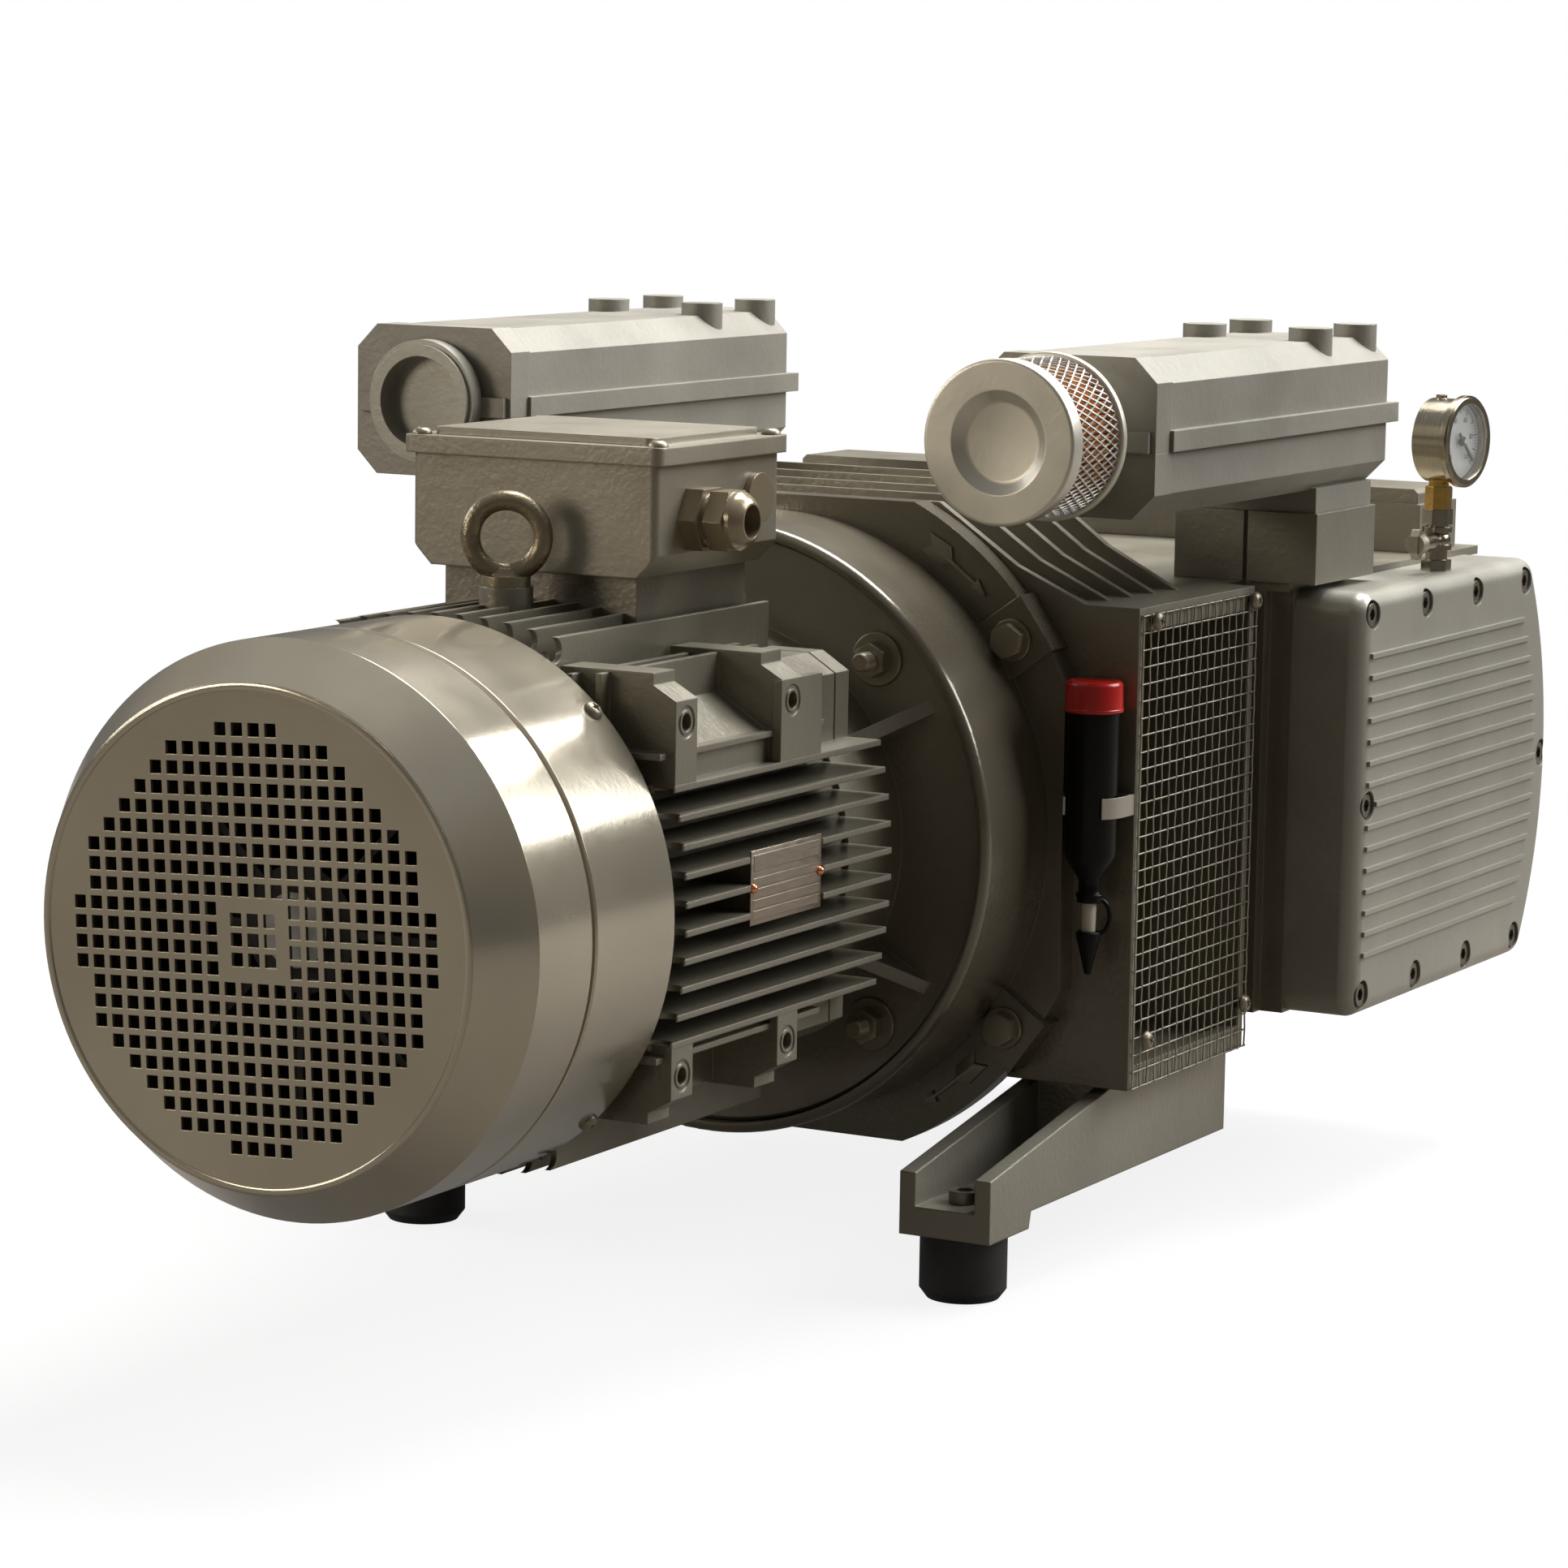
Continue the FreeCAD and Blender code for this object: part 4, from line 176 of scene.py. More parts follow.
# The floor fades into the white behind it and bounces little light back
def addFloor():
    material = bpy.data.materials.new("floor")
    material.use_nodes = True
    tree = material.node_tree
    tree.nodes.clear()
    output = tree.nodes.new("ShaderNodeOutputMaterial")
    seen = backgroundSeen(tree)
    colour = tree.nodes.new("ShaderNodeMix")
    colour.data_type = "RGBA"
    colour.inputs["A"].default_value = (*light["floorBounce"], 1)
    colour.inputs["B"].default_value = (*light["floorSeen"], 1)
    tree.links.new(seen, colour.inputs["Factor"])
    plain = tree.nodes.new("ShaderNodeBsdfDiffuse")
    tree.links.new(colour.outputs["Result"], plain.inputs["Color"])
    glow = tree.nodes.new("ShaderNodeEmission")
    glow.inputs["Color"].default_value = (1, 1, 1, 1)
    where = tree.nodes.new("ShaderNodeTexCoord")
    distance = tree.nodes.new("ShaderNodeVectorMath")
    distance.operation = "LENGTH"
    tree.links.new(where.outputs["Object"], distance.inputs[0])
    fade = tree.nodes.new("ShaderNodeMapRange")
    fade.interpolation_type = "SMOOTHSTEP"
    fade.inputs["From Min"].default_value = light["whiteFrom"]
    fade.inputs["From Max"].default_value = light["whiteAt"]
    fade.inputs["To Min"].default_value = light["floorGlow"]
    fade.inputs["To Max"].default_value = 1.0
    tree.links.new(distance.outputs["Value"], fade.inputs["Value"])
    share = tree.nodes.new("ShaderNodeMath")
    share.operation = "MULTIPLY"
    tree.links.new(seen, share.inputs[0])
    tree.links.new(fade.outputs["Result"], share.inputs[1])
    mix = tree.nodes.new("ShaderNodeMixShader")
    tree.links.new(share.outputs[0], mix.inputs["Fac"])
    tree.links.new(plain.outputs[0], mix.inputs[1])
    tree.links.new(glow.outputs[0], mix.inputs[2])
    tree.links.new(mix.outputs[0], output.inputs[0])
    mesh = bpy.data.meshes.new("floor")
    build = bmesh.new()
    bmesh.ops.create_grid(build, x_segments=1, y_segments=1, size=light["floorSize"])
    build.to_mesh(mesh)
    build.free()
    floor = bpy.data.objects.new("floor", mesh)
    bpy.context.scene.collection.objects.link(floor)
    floor.data.materials.append(material)


addLights()
addFloor()
print("light and floor ready")


# Materials, all on Object coordinates

texture = {
    "blendFrom": 0.25,
    "blendTo": 0.75,
    "bevelSamples": 4,
    "paintCloud": 9,
    "paintGloss": 30,
    "paintSpread": (0.85, 1.2),
    "peel": 420,
    "peelRelief": 0.4,
    "casting": 90,
    "castingRelief": 0.8,
    "coatRoughness": 0.12,
    "metalGrain": 120,
    "metalGloss": 200,
    "metalSpread": (0.75, 1.35),
    "metalLines": 700,
    "metalRelief": 0.1,
    "plasticCloud": 25,
    "plasticGloss": 60,
    "plasticSpread": (0.85, 1.15),
    "plasticRelief": 0.2,
}


class Shader:
    def __init__(self, name):
        self.material = bpy.data.materials.new(name)
        self.material.use_nodes = True
        self.tree = self.material.node_tree
        self.surface = self.tree.nodes["Principled BSDF"]
        self.where = self.tree.nodes.new("ShaderNodeTexCoord").outputs["Object"]

    def link(self, a, b):
        self.tree.links.new(a, b)

    def noise(self, scale, detail=3, roughness=0.5, stretch=None):
        node = self.tree.nodes.new("ShaderNodeTexNoise")
        node.inputs["Scale"].default_value = scale
        node.inputs["Detail"].default_value = detail
        node.inputs["Roughness"].default_value = roughness
        source = self.where
        if stretch:
            mapping = self.tree.nodes.new("ShaderNodeMapping")
            mapping.inputs["Scale"].default_value = stretch
            self.link(source, mapping.inputs["Vector"])
            source = mapping.outputs["Vector"]
        self.link(source, node.inputs["Vector"])
        return node.outputs["Fac"]

    def between(self, factor, low, high):
        node = self.tree.nodes.new("ShaderNodeMapRange")
        node.interpolation_type = "SMOOTHSTEP"
        node.inputs["From Min"].default_value = texture["blendFrom"]
        node.inputs["From Max"].default_value = texture["blendTo"]
        node.inputs["To Min"].default_value = low
        node.inputs["To Max"].default_value = high
        self.link(factor, node.inputs["Value"])
        return node.outputs["Result"]

    def blendColours(self, factor, a, b):
        ramp = self.tree.nodes.new("ShaderNodeValToRGB")
        ramp.color_ramp.interpolation = "EASE"
        ramp.color_ramp.elements[0].position = texture["blendFrom"]
        ramp.color_ramp.elements[0].color = (*a, 1)
        ramp.color_ramp.elements[1].position = texture["blendTo"]
        ramp.color_ramp.elements[1].color = (*b, 1)
        self.link(factor, ramp.inputs["Fac"])
        return ramp.outputs["Color"]

    def bump(self, height, strength, distance, before=None):
        node = self.tree.nodes.new("ShaderNodeBump")
        node.inputs["Strength"].default_value = strength
        node.inputs["Distance"].default_value = distance
        self.link(height, node.inputs["Height"])
        if before is not None:
            self.link(before, node.inputs["Normal"])
        return node.outputs["Normal"]

    def softEdges(self, radius):
        node = self.tree.nodes.new("ShaderNodeBevel")
        node.samples = texture["bevelSamples"]
        node.inputs["Radius"].default_value = radius
        return node.outputs["Normal"]

    def roughen(self, factor, roughness, spread):
        # Denoised renders show a stain wherever one surface's roughness crosses 0.27, so no finish does
        self.link(self.between(factor, roughness * spread[0], roughness * spread[1]),
                  self.surface.inputs["Roughness"])

    def set(self, **values):
        names = {"metallic": "Metallic", "coat": "Coat Weight", "coatRoughness": "Coat Roughness",
                 "transmission": "Transmission Weight", "ior": "IOR", "specular": "Specular IOR Level",
                 "roughness": "Roughness"}
        for key, value in values.items():
            self.surface.inputs[names[key]].default_value = value


# Sprayed metallic enamel: faint clouding, and orange peel over a cast or rolled surface
def paint(name, colour, roughness, metallic=0.35, grain=0.25, edge=0.7, coat=0.2, shade=0.88):
    look = Shader(name)
    dark = tuple(c * shade for c in colour)
    pale = tuple(min(1, c * (2 - shade)) for c in colour)
    look.link(look.blendColours(look.noise(texture["paintCloud"], 4), dark, pale),
              look.surface.inputs["Base Color"])
    look.roughen(look.noise(texture["paintGloss"], 3), roughness, texture["paintSpread"])
    look.set(metallic=metallic, coat=coat, coatRoughness=texture["coatRoughness"])
    normal = look.softEdges(edge * mm) if edge else None
    normal = look.bump(look.noise(texture["peel"], 2), grain, texture["peelRelief"] * mm, normal)
    normal = look.bump(look.noise(texture["casting"], 3), grain * 0.7, texture["castingRelief"] * mm, normal)
    look.link(normal, look.surface.inputs["Normal"])
    return look.material


# Bare or plated metal with fine machining or drawing lines
def metal(name, colour, roughness, stretch=(1, 1, 1), edge=0.3):
    look = Shader(name)
    dark = tuple(c * 0.8 for c in colour)
    look.link(look.blendColours(look.noise(texture["metalGrain"], 3, 0.6, stretch), dark, colour),
              look.surface.inputs["Base Color"])
    look.roughen(look.noise(texture["metalGloss"], 3, 0.6, stretch), roughness, texture["metalSpread"])
    look.set(metallic=1)
    normal = look.softEdges(edge * mm) if edge else None
    lines = look.noise(texture["metalLines"], 2, 0.6, stretch)
    normal = look.bump(lines, 0.2, texture["metalRelief"] * mm, normal)
    look.link(normal, look.surface.inputs["Normal"])
    return look.material


# Moulded plastic, rubber or paper with a fine grain
def plastic(name, colour, roughness, grain=0.15, edge=0.3, scale=500, shade=0.85, specular=0.5):
    look = Shader(name)
    dark = tuple(c * shade for c in colour)
    look.link(look.blendColours(look.noise(texture["plasticCloud"], 3), dark, colour),
              look.surface.inputs["Base Color"])
    look.roughen(look.noise(texture["plasticGloss"], 3), roughness, texture["plasticSpread"])
    look.set(specular=specular)
    normal = look.softEdges(edge * mm) if edge else None
    normal = look.bump(look.noise(scale, 2), grain, texture["plasticRelief"] * mm, normal)
    look.link(normal, look.surface.inputs["Normal"])
    return look.material


def glass(name):
    look = Shader(name)
    look.link(look.blendColours(look.noise(40, 2), (0.93, 0.95, 0.95), (1, 1, 1)),
              look.surface.inputs["Base Color"])
    look.set(roughness=0.03, transmission=1.0, ior=1.46)
    return look.material


finishes = {
    "cast_paint": paint("castPaint", (0.190, 0.173, 0.133), roughness=0.36, grain=0.45, edge=0.9),
    "cover_paint": paint("coverPaint", (0.290, 0.278, 0.240), roughness=0.36, grain=0.2, edge=0.35),
    "sheet_paint": paint("sheetPaint", (0.41, 0.37, 0.285), roughness=0.17, metallic=0.65, grain=0.06,
                         edge=0.5, coat=0.9),
    "box_paint": paint("boxPaint", (0.255, 0.232, 0.182), roughness=0.36, grain=0.3, edge=1.0),
    "plated_paint": paint("platedPaint", (0.250, 0.205, 0.135), roughness=0.22, grain=0.1, edge=0.6),
    "zinc_steel": metal("zincSteel", (0.42, 0.38, 0.30), roughness=0.38),
    "dark_steel": metal("darkSteel", (0.22, 0.20, 0.17), roughness=0.38),
    "wire_steel": metal("wireSteel", (0.36, 0.335, 0.27), roughness=0.4, edge=0),
    "machined_steel": metal("machinedSteel", (0.55, 0.55, 0.55), roughness=0.38),
    "bare_aluminium": metal("bareAluminium", (0.66, 0.66, 0.66), roughness=0.42),
    "winding_copper": metal("windingCopper", (0.55, 0.27, 0.13), roughness=0.4, stretch=(1, 8, 8)),
    "fan_plastic": plastic("fanPlastic", (0.035, 0.034, 0.032), roughness=0.5),
    "spider_rubber": plastic("spiderRubber", (0.55, 0.08, 0.05), roughness=0.6),
    "graphite": plastic("graphite", (0.05, 0.05, 0.055), roughness=0.45),
    "board_plastic": plastic("boardPlastic", (0.25, 0.09, 0.04), roughness=0.5),
    "plate_metal": metal("plateMetal", (0.36, 0.31, 0.25), roughness=0.4, stretch=(1, 1, 12)),
    "filter_cap_metal": paint("filterCapMetal", (0.60, 0.57, 0.49), roughness=0.34, metallic=0.5,
                              grain=0.1, edge=0.3),
    "filter_paper": plastic("filterPaper", (0.85, 0.36, 0.07), roughness=0.85, shade=0.6),
    "expanded_metal": metal("expandedMetal", (0.58, 0.57, 0.53), roughness=0.38, edge=0),
    "gauge_black": metal("gaugeSteel", (0.50, 0.44, 0.34), roughness=0.16, stretch=(1, 12, 1)),
    "gauge_glass": glass("gaugeGlass"),
    "pointer_black": plastic("pointerBlack", (0.02, 0.02, 0.02), roughness=0.5),
    "brass": metal("brass", (0.60, 0.37, 0.10), roughness=0.2),
    "valve_chrome": metal("valveNickel", (0.30, 0.265, 0.205), roughness=0.2),
    "foot_rubber": plastic("footRubber", (0.012, 0.012, 0.011), roughness=0.6, scale=250),
    "bottle_black": plastic("bottleBlack", (0.003, 0.003, 0.003), roughness=0.34, grain=0.05,
                            specular=0.15),
    "bottle_red": plastic("bottleRed", (0.52, 0.012, 0.008), roughness=0.23, grain=0.05),
}

for entry in frame["record"]["subparts"]:
    piece = nodes[entry["node"]]
    piece.data.materials.clear()
    piece.data.materials.append(finishes[entry["material_slot"]])

# Paints of single pieces, and of the screws, which are sprayed over with the rest
boltPaint = paint("boltPaint", (0.215, 0.186, 0.132), roughness=0.36, metallic=0.45, grain=0.3, edge=0.25)
# The arrows' paint is a little lighter than the ring paint round them, a painted highlight that makes their
# raised outline show
arrowHighlightPaint = paint("arrowHighlightPaint", (0.19, 0.168, 0.125), roughness=0.22, grain=0.3, edge=0.15, coat=0.35)
eyePaint = paint("eyePaint", (0.20, 0.165, 0.105), roughness=0.36, metallic=0.6, grain=0.9, edge=0.6,
                 shade=0.7)
legPaint = paint("legPaint", (0.270, 0.252, 0.205), roughness=0.36, grain=0.5, edge=1.2)
# The adapter ring's paint is a darker, glossier copy of the cast paint; its darker colour is painted shade on
# the ring
ringShadePaint = paint("ringShadePaint", (0.145, 0.127, 0.092), roughness=0.22, grain=0.3, edge=0.6, coat=0.35)
housingPaint = paint("housingPaint", (0.226, 0.213, 0.180), roughness=0.45, metallic=0.2, grain=0.35,
                     edge=0.6, coat=0)
ownPaints = {
    "eye_bolt": eyePaint,
    "leg_near": legPaint,
    "leg_far": legPaint,
    "adapter_ring": ringShadePaint,
    "housing_near_lower": housingPaint,
    "housing_near_upper": housingPaint,
    "housing_far_lower": housingPaint,
    "housing_far_upper": housingPaint,
}
for name, material in ownPaints.items():
    nodes[name].data.materials[0] = material
print("materials ready")


# Mesh tools, in mm from the motor flange's centre

# Puts a shape made along +X at a point, running along a direction
def facing(at, direction, up=(0, 0, 1)):
    x = Vector(direction).normalized()
    z = Vector(up) - x * x.dot(Vector(up))
    if z.length < 0.01:
        z = Vector((1, 0, 0)) - x * x.x
    z.normalize()
    turn = Matrix((x, z.cross(x), z)).transposed().to_4x4()
    return Matrix.Translation(at) @ turn


def sixSided(angle):
    return 1 / math.cos((angle + math.pi / 6) % (math.pi / 3) - math.pi / 6)


def crossSlot(angle):
    long, slim = 1, 0.3
    across, up = abs(math.cos(angle)) + 0.0001, abs(math.sin(angle)) + 0.0001
    return max(min(long / across, slim / up), min(long / up, slim / across))


def plainRound(angle):
    return 1


ringForms = {"round": plainRound, "hex": sixSided, "turnedHex": sixSided, "cross": crossSlot}
acrossX = Matrix.Rotation(math.pi / 2, 4, "Y")  # turns a flat circle to face along X


# Pulls a new ring out of a ring of edges, and gives its points and its edges
def pullRing(shape, ring):
    made = bmesh.ops.extrude_edge_only(shape, edges=ring)
    points = [item for item in made["geom"] if isinstance(item, bmesh.types.BMVert)]
    return points, [item for item in made["geom"] if isinstance(item, bmesh.types.BMEdge)]


# One mesh object, built from several shapes
class Piece:
    def __init__(self, name):
        self.name = name
        self.whole = bmesh.new()

    def add(self, shape, matrix=None):
        bmesh.ops.recalc_face_normals(shape, faces=shape.faces)
        if matrix is not None:
            bmesh.ops.transform(shape, matrix=matrix, verts=shape.verts)
        mesh = bpy.data.meshes.new("part")
        shape.to_mesh(mesh)
        shape.free()
        self.whole.from_mesh(mesh)
        bpy.data.meshes.remove(mesh)

    # Points (along, radius) turned round the axis
    def lathe(self, profile, matrix, steps=64):
        shape = bmesh.new()
        points = [shape.verts.new((x, 0, radius)) for x, radius in profile]
        edges = [shape.edges.new(pair) for pair in zip(points, points[1:])]
        bmesh.ops.spin(shape, geom=points + edges, cent=(0, 0, 0), axis=(1, 0, 0), dvec=(0, 0, 0),
                       angle=math.tau, steps=steps, use_merge=True)
        bmesh.ops.remove_doubles(shape, verts=shape.verts, dist=0.0001)
        self.add(shape, matrix)

    def block(self, low, high, matrix=None, edge=0):
        shape = bmesh.new()
        size = Vector(high) - Vector(low)
        middle = (Vector(high) + Vector(low)) / 2
        bmesh.ops.create_cube(shape, size=1, matrix=Matrix.Translation(middle) @ Matrix.Diagonal((*size, 1)))
        if edge:
            bmesh.ops.bevel(shape, geom=shape.edges[:], offset=edge, segments=2, profile=0.5, material=-1,
                            affect="EDGES")
        self.add(shape, matrix)

    # A section round +X, pulled through places and closed at both ends
    def sweep(self, section, sides, places):
        shape = bmesh.new()
        bmesh.ops.create_circle(shape, segments=sides, radius=1, matrix=places[0] @ section @ acrossX)
        ring = shape.edges[:]
        for before, after in zip(places, places[1:]):
            fresh, ring = pullRing(shape, ring)
            bmesh.ops.transform(shape, matrix=after @ before.inverted(), verts=fresh)
        bmesh.ops.holes_fill(shape, edges=shape.edges[:], sides=0)
        self.add(shape)

    # A round wire through points
    def wire(self, points, radius, sides=6):
        points = [Vector(point) for point in points]
        places = []
        for i, point in enumerate(points):
            before = points[max(i - 1, 0)]
            after = points[min(i + 1, len(points) - 1)]
            places.append(facing(point, after - before, (0.31, 0.2, 0.93)))
        self.sweep(Matrix.Diagonal((1, radius, radius, 1)), sides, places)

    # An upright strip of sheet along a path of (x, y) points
    def strip(self, path, level, height, thickness):
        places = []
        for i, (x, y) in enumerate(path):
            before = Vector((*path[max(i - 1, 0)], 0))
            after = Vector((*path[min(i + 1, len(path) - 1)], 0))
            places.append(facing((x, y, level), after - before))
        square = Matrix.Diagonal((1, thickness / 2, height / 2, 1)) @ Matrix.Rotation(math.pi / 4, 4, "X")
        self.sweep(square @ Matrix.Scale(math.sqrt(2), 4), 4, places)

    # A flat outline in the YZ plane, made thick along X
    def outline(self, points, depth, matrix, edge=0):
        shape = bmesh.new()
        face = shape.faces.new([shape.verts.new((0, y, z)) for y, z in points])
        made = bmesh.ops.extrude_face_region(shape, geom=[face])
        moved = [item for item in made["geom"] if isinstance(item, bmesh.types.BMVert)]
        bmesh.ops.translate(shape, vec=(depth, 0, 0), verts=moved)
        if edge:
            rim = [item for item in shape.edges if all(vert in moved for vert in item.verts)]
            bmesh.ops.bevel(shape, geom=rim, offset=edge, segments=2, profile=0.5, material=-1,
                            affect="EDGES")
        self.add(shape, matrix)

    # Rings along +X, each (along, half width, form), where a turned hexagon falls away at its corners
    def rings(self, profile, matrix, count=48):
        shape = bmesh.new()
        bmesh.ops.create_circle(shape, segments=count, radius=1, matrix=acrossX)
        fresh, ring = shape.verts[:], shape.edges[:]
        for i, (along, half, form) in enumerate(profile):
            if i:
                fresh, ring = pullRing(shape, ring)
            for vert in fresh:
                angle = math.atan2(vert.co.z, vert.co.y)
                reach = half * ringForms[form](angle)
                drop = (reach - half) * 0.55 if form == "turnedHex" else 0
                vert.co = (along - drop, reach * math.cos(angle), reach * math.sin(angle))
        bmesh.ops.holes_fill(shape, edges=shape.edges[:], sides=0)
        self.add(shape, matrix)

    def hexHead(self, flats, height, matrix):
        half = flats / 2
        self.rings([(0, half, "hex"), (height - 0.05, half, "turnedHex"), (height, half * 0.95, "round")],
                   matrix)

    # Turns the mesh into an object of the row frame that rides on the housing
    def finish(self, material, stands=(), smooth=35):
        toFrame = Matrix.Translation((flangeX, 0, axisHeight)) @ Matrix.Diagonal((mm, mm, mm, 1))
        bmesh.ops.transform(self.whole, matrix=toFrame, verts=self.whole.verts)
        for face in self.whole.faces:
            face.smooth = True
        for edge in self.whole.edges:
            edge.smooth = len(edge.link_faces) < 2 or edge.calc_face_angle(0) < math.radians(smooth)
        mesh = bpy.data.meshes.new(self.name)
        self.whole.to_mesh(mesh)
        self.whole.free()
        thing = bpy.data.objects.new(self.name, mesh)
        bpy.context.scene.collection.objects.link(thing)
        mesh.materials.append(material)
        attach(thing, "housing")
        if stands:
            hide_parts(*stands)


# Points of a rounded corner in a lathe's profile, with angles in degrees from the axis
def arc(middle, radius, start, end, steps=4):
    points = []
    for k in range(steps + 1):
        angle = math.radians(start + (end - start) * k / steps)
        points.append((middle[0] + radius * math.cos(angle), middle[1] + radius * math.sin(angle)))
    return points


# Beads pressed into the fan cover

cover = {
    "face": -352.0,
    "bead": 92.3,
    "beadWidth": 1.5,
    "beadHeight": 0.5,
    "beadSunk": 0.4,
    "beadSteps": 12,
    "seam": -292.0,
    "radius": 108.0,
    "seamDepth": 1.15,
    "seamWidth": 1.0,
    "seamRise": 0.6,
    "seamSheet": 0.3,
    "around": 128,
}


def addCoverBeads():
    bead = Piece("coverBead")
    under = cover["face"] + cover["beadSunk"]
    profile = [(under, cover["bead"] - cover["beadWidth"])]
    for k in range(cover["beadSteps"] + 1):
        angle = math.pi * k / cover["beadSteps"]
        profile.append((cover["face"] - cover["beadHeight"] * math.sin(angle),
                        cover["bead"] - cover["beadWidth"] * math.cos(angle)))
    profile.append((under, cover["bead"] + cover["beadWidth"]))
    profile.append(profile[0])
    bead.lathe(profile, Matrix(), cover["around"])
    bead.finish(finishes["sheet_paint"])
    # A thin dark ring laid in the groove round the drum is painted shade, standing in for the groove's shadow
    seam = Piece("coverSeamShade")
    deep = cover["radius"] - cover["seamDepth"]
    high = deep + cover["seamRise"]
    sheet = cover["seamSheet"]
    x, wide = cover["seam"], cover["seamWidth"]
    profile = [(x - wide, high), (x, deep), (x + wide, high), (x + wide, high - sheet), (x, deep - sheet),
               (x - wide, high - sheet), (x - wide, high)]
    seam.lathe(profile, Matrix(), cover["around"])
    seam.finish(seamShadePaint)


# Dark brown for the groove ring: painted shade
seamShadePaint = paint("seamShadePaint", (0.15, 0.108, 0.058), roughness=0.4, grain=0.1, edge=0)
addCoverBeads()
print("cover beads ready")


# Arrows for the direction of turning, cast on the adapter's band

arrow = {
    "face": 36.0,
    "rise": 1.5,
    "sunk": 0.2,
    "edge": 0.25,
    "outline": ((-72.8, 124.5), (-82.9, 118.6), (-83.4, 113.2), (-94.2, 104.7),
                (-95.7, 106.1), (-99.2, 98.9), (-91.6, 102.8), (-93.1, 103.6),
                (-82.3, 111.8), (-77.7, 110.8), (-68.0, 117.0), (-73.7, 118.7)),
    "turns": (0.0, 103.2),
}


def addArrows():
    piece = Piece("bandArrows")
    for turn in arrow["turns"]:
        at = Matrix.Translation((arrow["face"] + arrow["sunk"], 0, 0))
        at = at @ Matrix.Rotation(math.radians(turn), 4, "X")
        piece.outline(arrow["outline"], -arrow["rise"] - arrow["sunk"], at, arrow["edge"])
    piece.finish(arrowHighlightPaint)


addArrows()
print("arrows ready")


# Filter on the near housing's front

intake = {
    "y": -151.7,
    "z": 171.0,
    "face": -62.5,
    "cap": 9.0,
    "rim": -19.0,
    "rear": -15.0,
    "radius": 32.0,
    "capRadius": 33.0,
    "rimRadius": 34.0,
    "dish": 20.0,
    "dishDepth": 4.0,
    "rimHole": 20.0,
    "stub": 23.8,
    "stubEnd": -2.9,
    "rows": 8,
    "around": 54,
    "strand": 0.75,
    "strandSheet": 0.7,
    "strandOver": 0.3,
    "strandLean": 0.45,
    "pleats": 64,
    "pleatDepths": (5.5, 1.6),
    "pleatOver": 0.5,
}


def addFilter():
    axis = Matrix.Translation((0, intake["y"], intake["z"]))
    caps = Piece("filterCaps")
    face = intake["face"]
    inner = face + intake["cap"]
    wide = intake["capRadius"]
    dish = intake["dish"]
    floor = face + intake["dishDepth"]
    profile = [(inner, 0), (inner, wide - 1), (inner - 0.8, wide)]
    profile += arc((face + 1.2, wide - 1.2), 1.2, 90, 180) + [(face, wide - 1.6), (face, dish + 1.2)]
    profile += arc((face + 0.5, dish + 0.8), 0.5, 180, 225, 2)
    profile += [(floor - 0.6, dish - 3.0), (floor - 0.15, dish - 3.9), (floor, dish - 5), (floor, 0)]
    caps.lathe(profile, axis, 96)
    rim = intake["rim"]
    rear = intake["rear"]
    wide = intake["rimRadius"]
    profile = [(rear, 0), (rear, wide - 1)] + arc((rear - 1, wide - 1), 1, 0, 90)
    profile += arc((rim + 1, wide - 1), 1, 90, 180) + [(rim, intake["rimHole"]), (rear, intake["rimHole"])]
    caps.lathe(profile, axis, 96)
    stub, back = intake["stub"], intake["stubEnd"]
    caps.lathe([(rear - 1, stub), (back, stub), (back, 0)], axis)
    caps.finish(finishes["filter_cap_metal"], stands=("filter_caps",))

    # Expanded metal: crossing strands on a cylinder
    screen = Piece("filterScreen")
    radius = intake["radius"]
    rows = intake["rows"]
    around = intake["around"]
    stepX = (rim - inner) / rows
    for row in range(rows):
        for column in range(around):
            for side in (-1, 1):
                start = math.tau * (column + (row % 2) / 2) / around
                end = start + math.tau * side * 0.5 / around
                points = []
                for x, angle in ((inner + stepX * row, start), (inner + stepX * (row + 1), end)):
                    points.append(Vector((x, math.cos(angle) * radius, math.sin(angle) * radius)))
                middle = (points[0] + points[1]) / 2
                along = points[1] - points[0]
                out = Vector((intake["strandLean"], middle.y / radius, middle.z / radius))
                half = Vector((along.length / 2 + intake["strandOver"], intake["strand"] / 2,
                               intake["strandSheet"] / 2))
                screen.block(-half, half, axis @ facing(middle, along, out))
    screen.finish(finishes["expanded_metal"], stands=("filter_screen",))

    # Pleated paper behind it
    paper = Piece("filterPaper")
    shape = bmesh.new()
    bmesh.ops.create_circle(shape, segments=intake["pleats"] * 2, radius=1, matrix=acrossX)
    for k, vert in enumerate(shape.verts):
        vert.co *= radius - intake["pleatDepths"][k % 2]
        vert.co.x = inner - intake["pleatOver"]
    points = pullRing(shape, shape.edges[:])[0]
    bmesh.ops.translate(shape, vec=(rim - inner + 2 * intake["pleatOver"], 0, 0), verts=points)
    paper.add(shape, axis)
    paper.finish(finishes["filter_paper"], stands=("filter_element",), smooth=20)


addFilter()
print("filter ready")


# Woven wire grilles in front of the casing's side openings

grille = {
    "x": (50.0, 167.0),
    "z": (-105.7, 94.0),
    "face": 163.7,
    "stand": 0.9,
    "wire": 0.42,
    "sway": 0.12,
    "flat": 0.504,
    "over": 0.6,
    "uprights": 17,
    "crossings": 29,
}


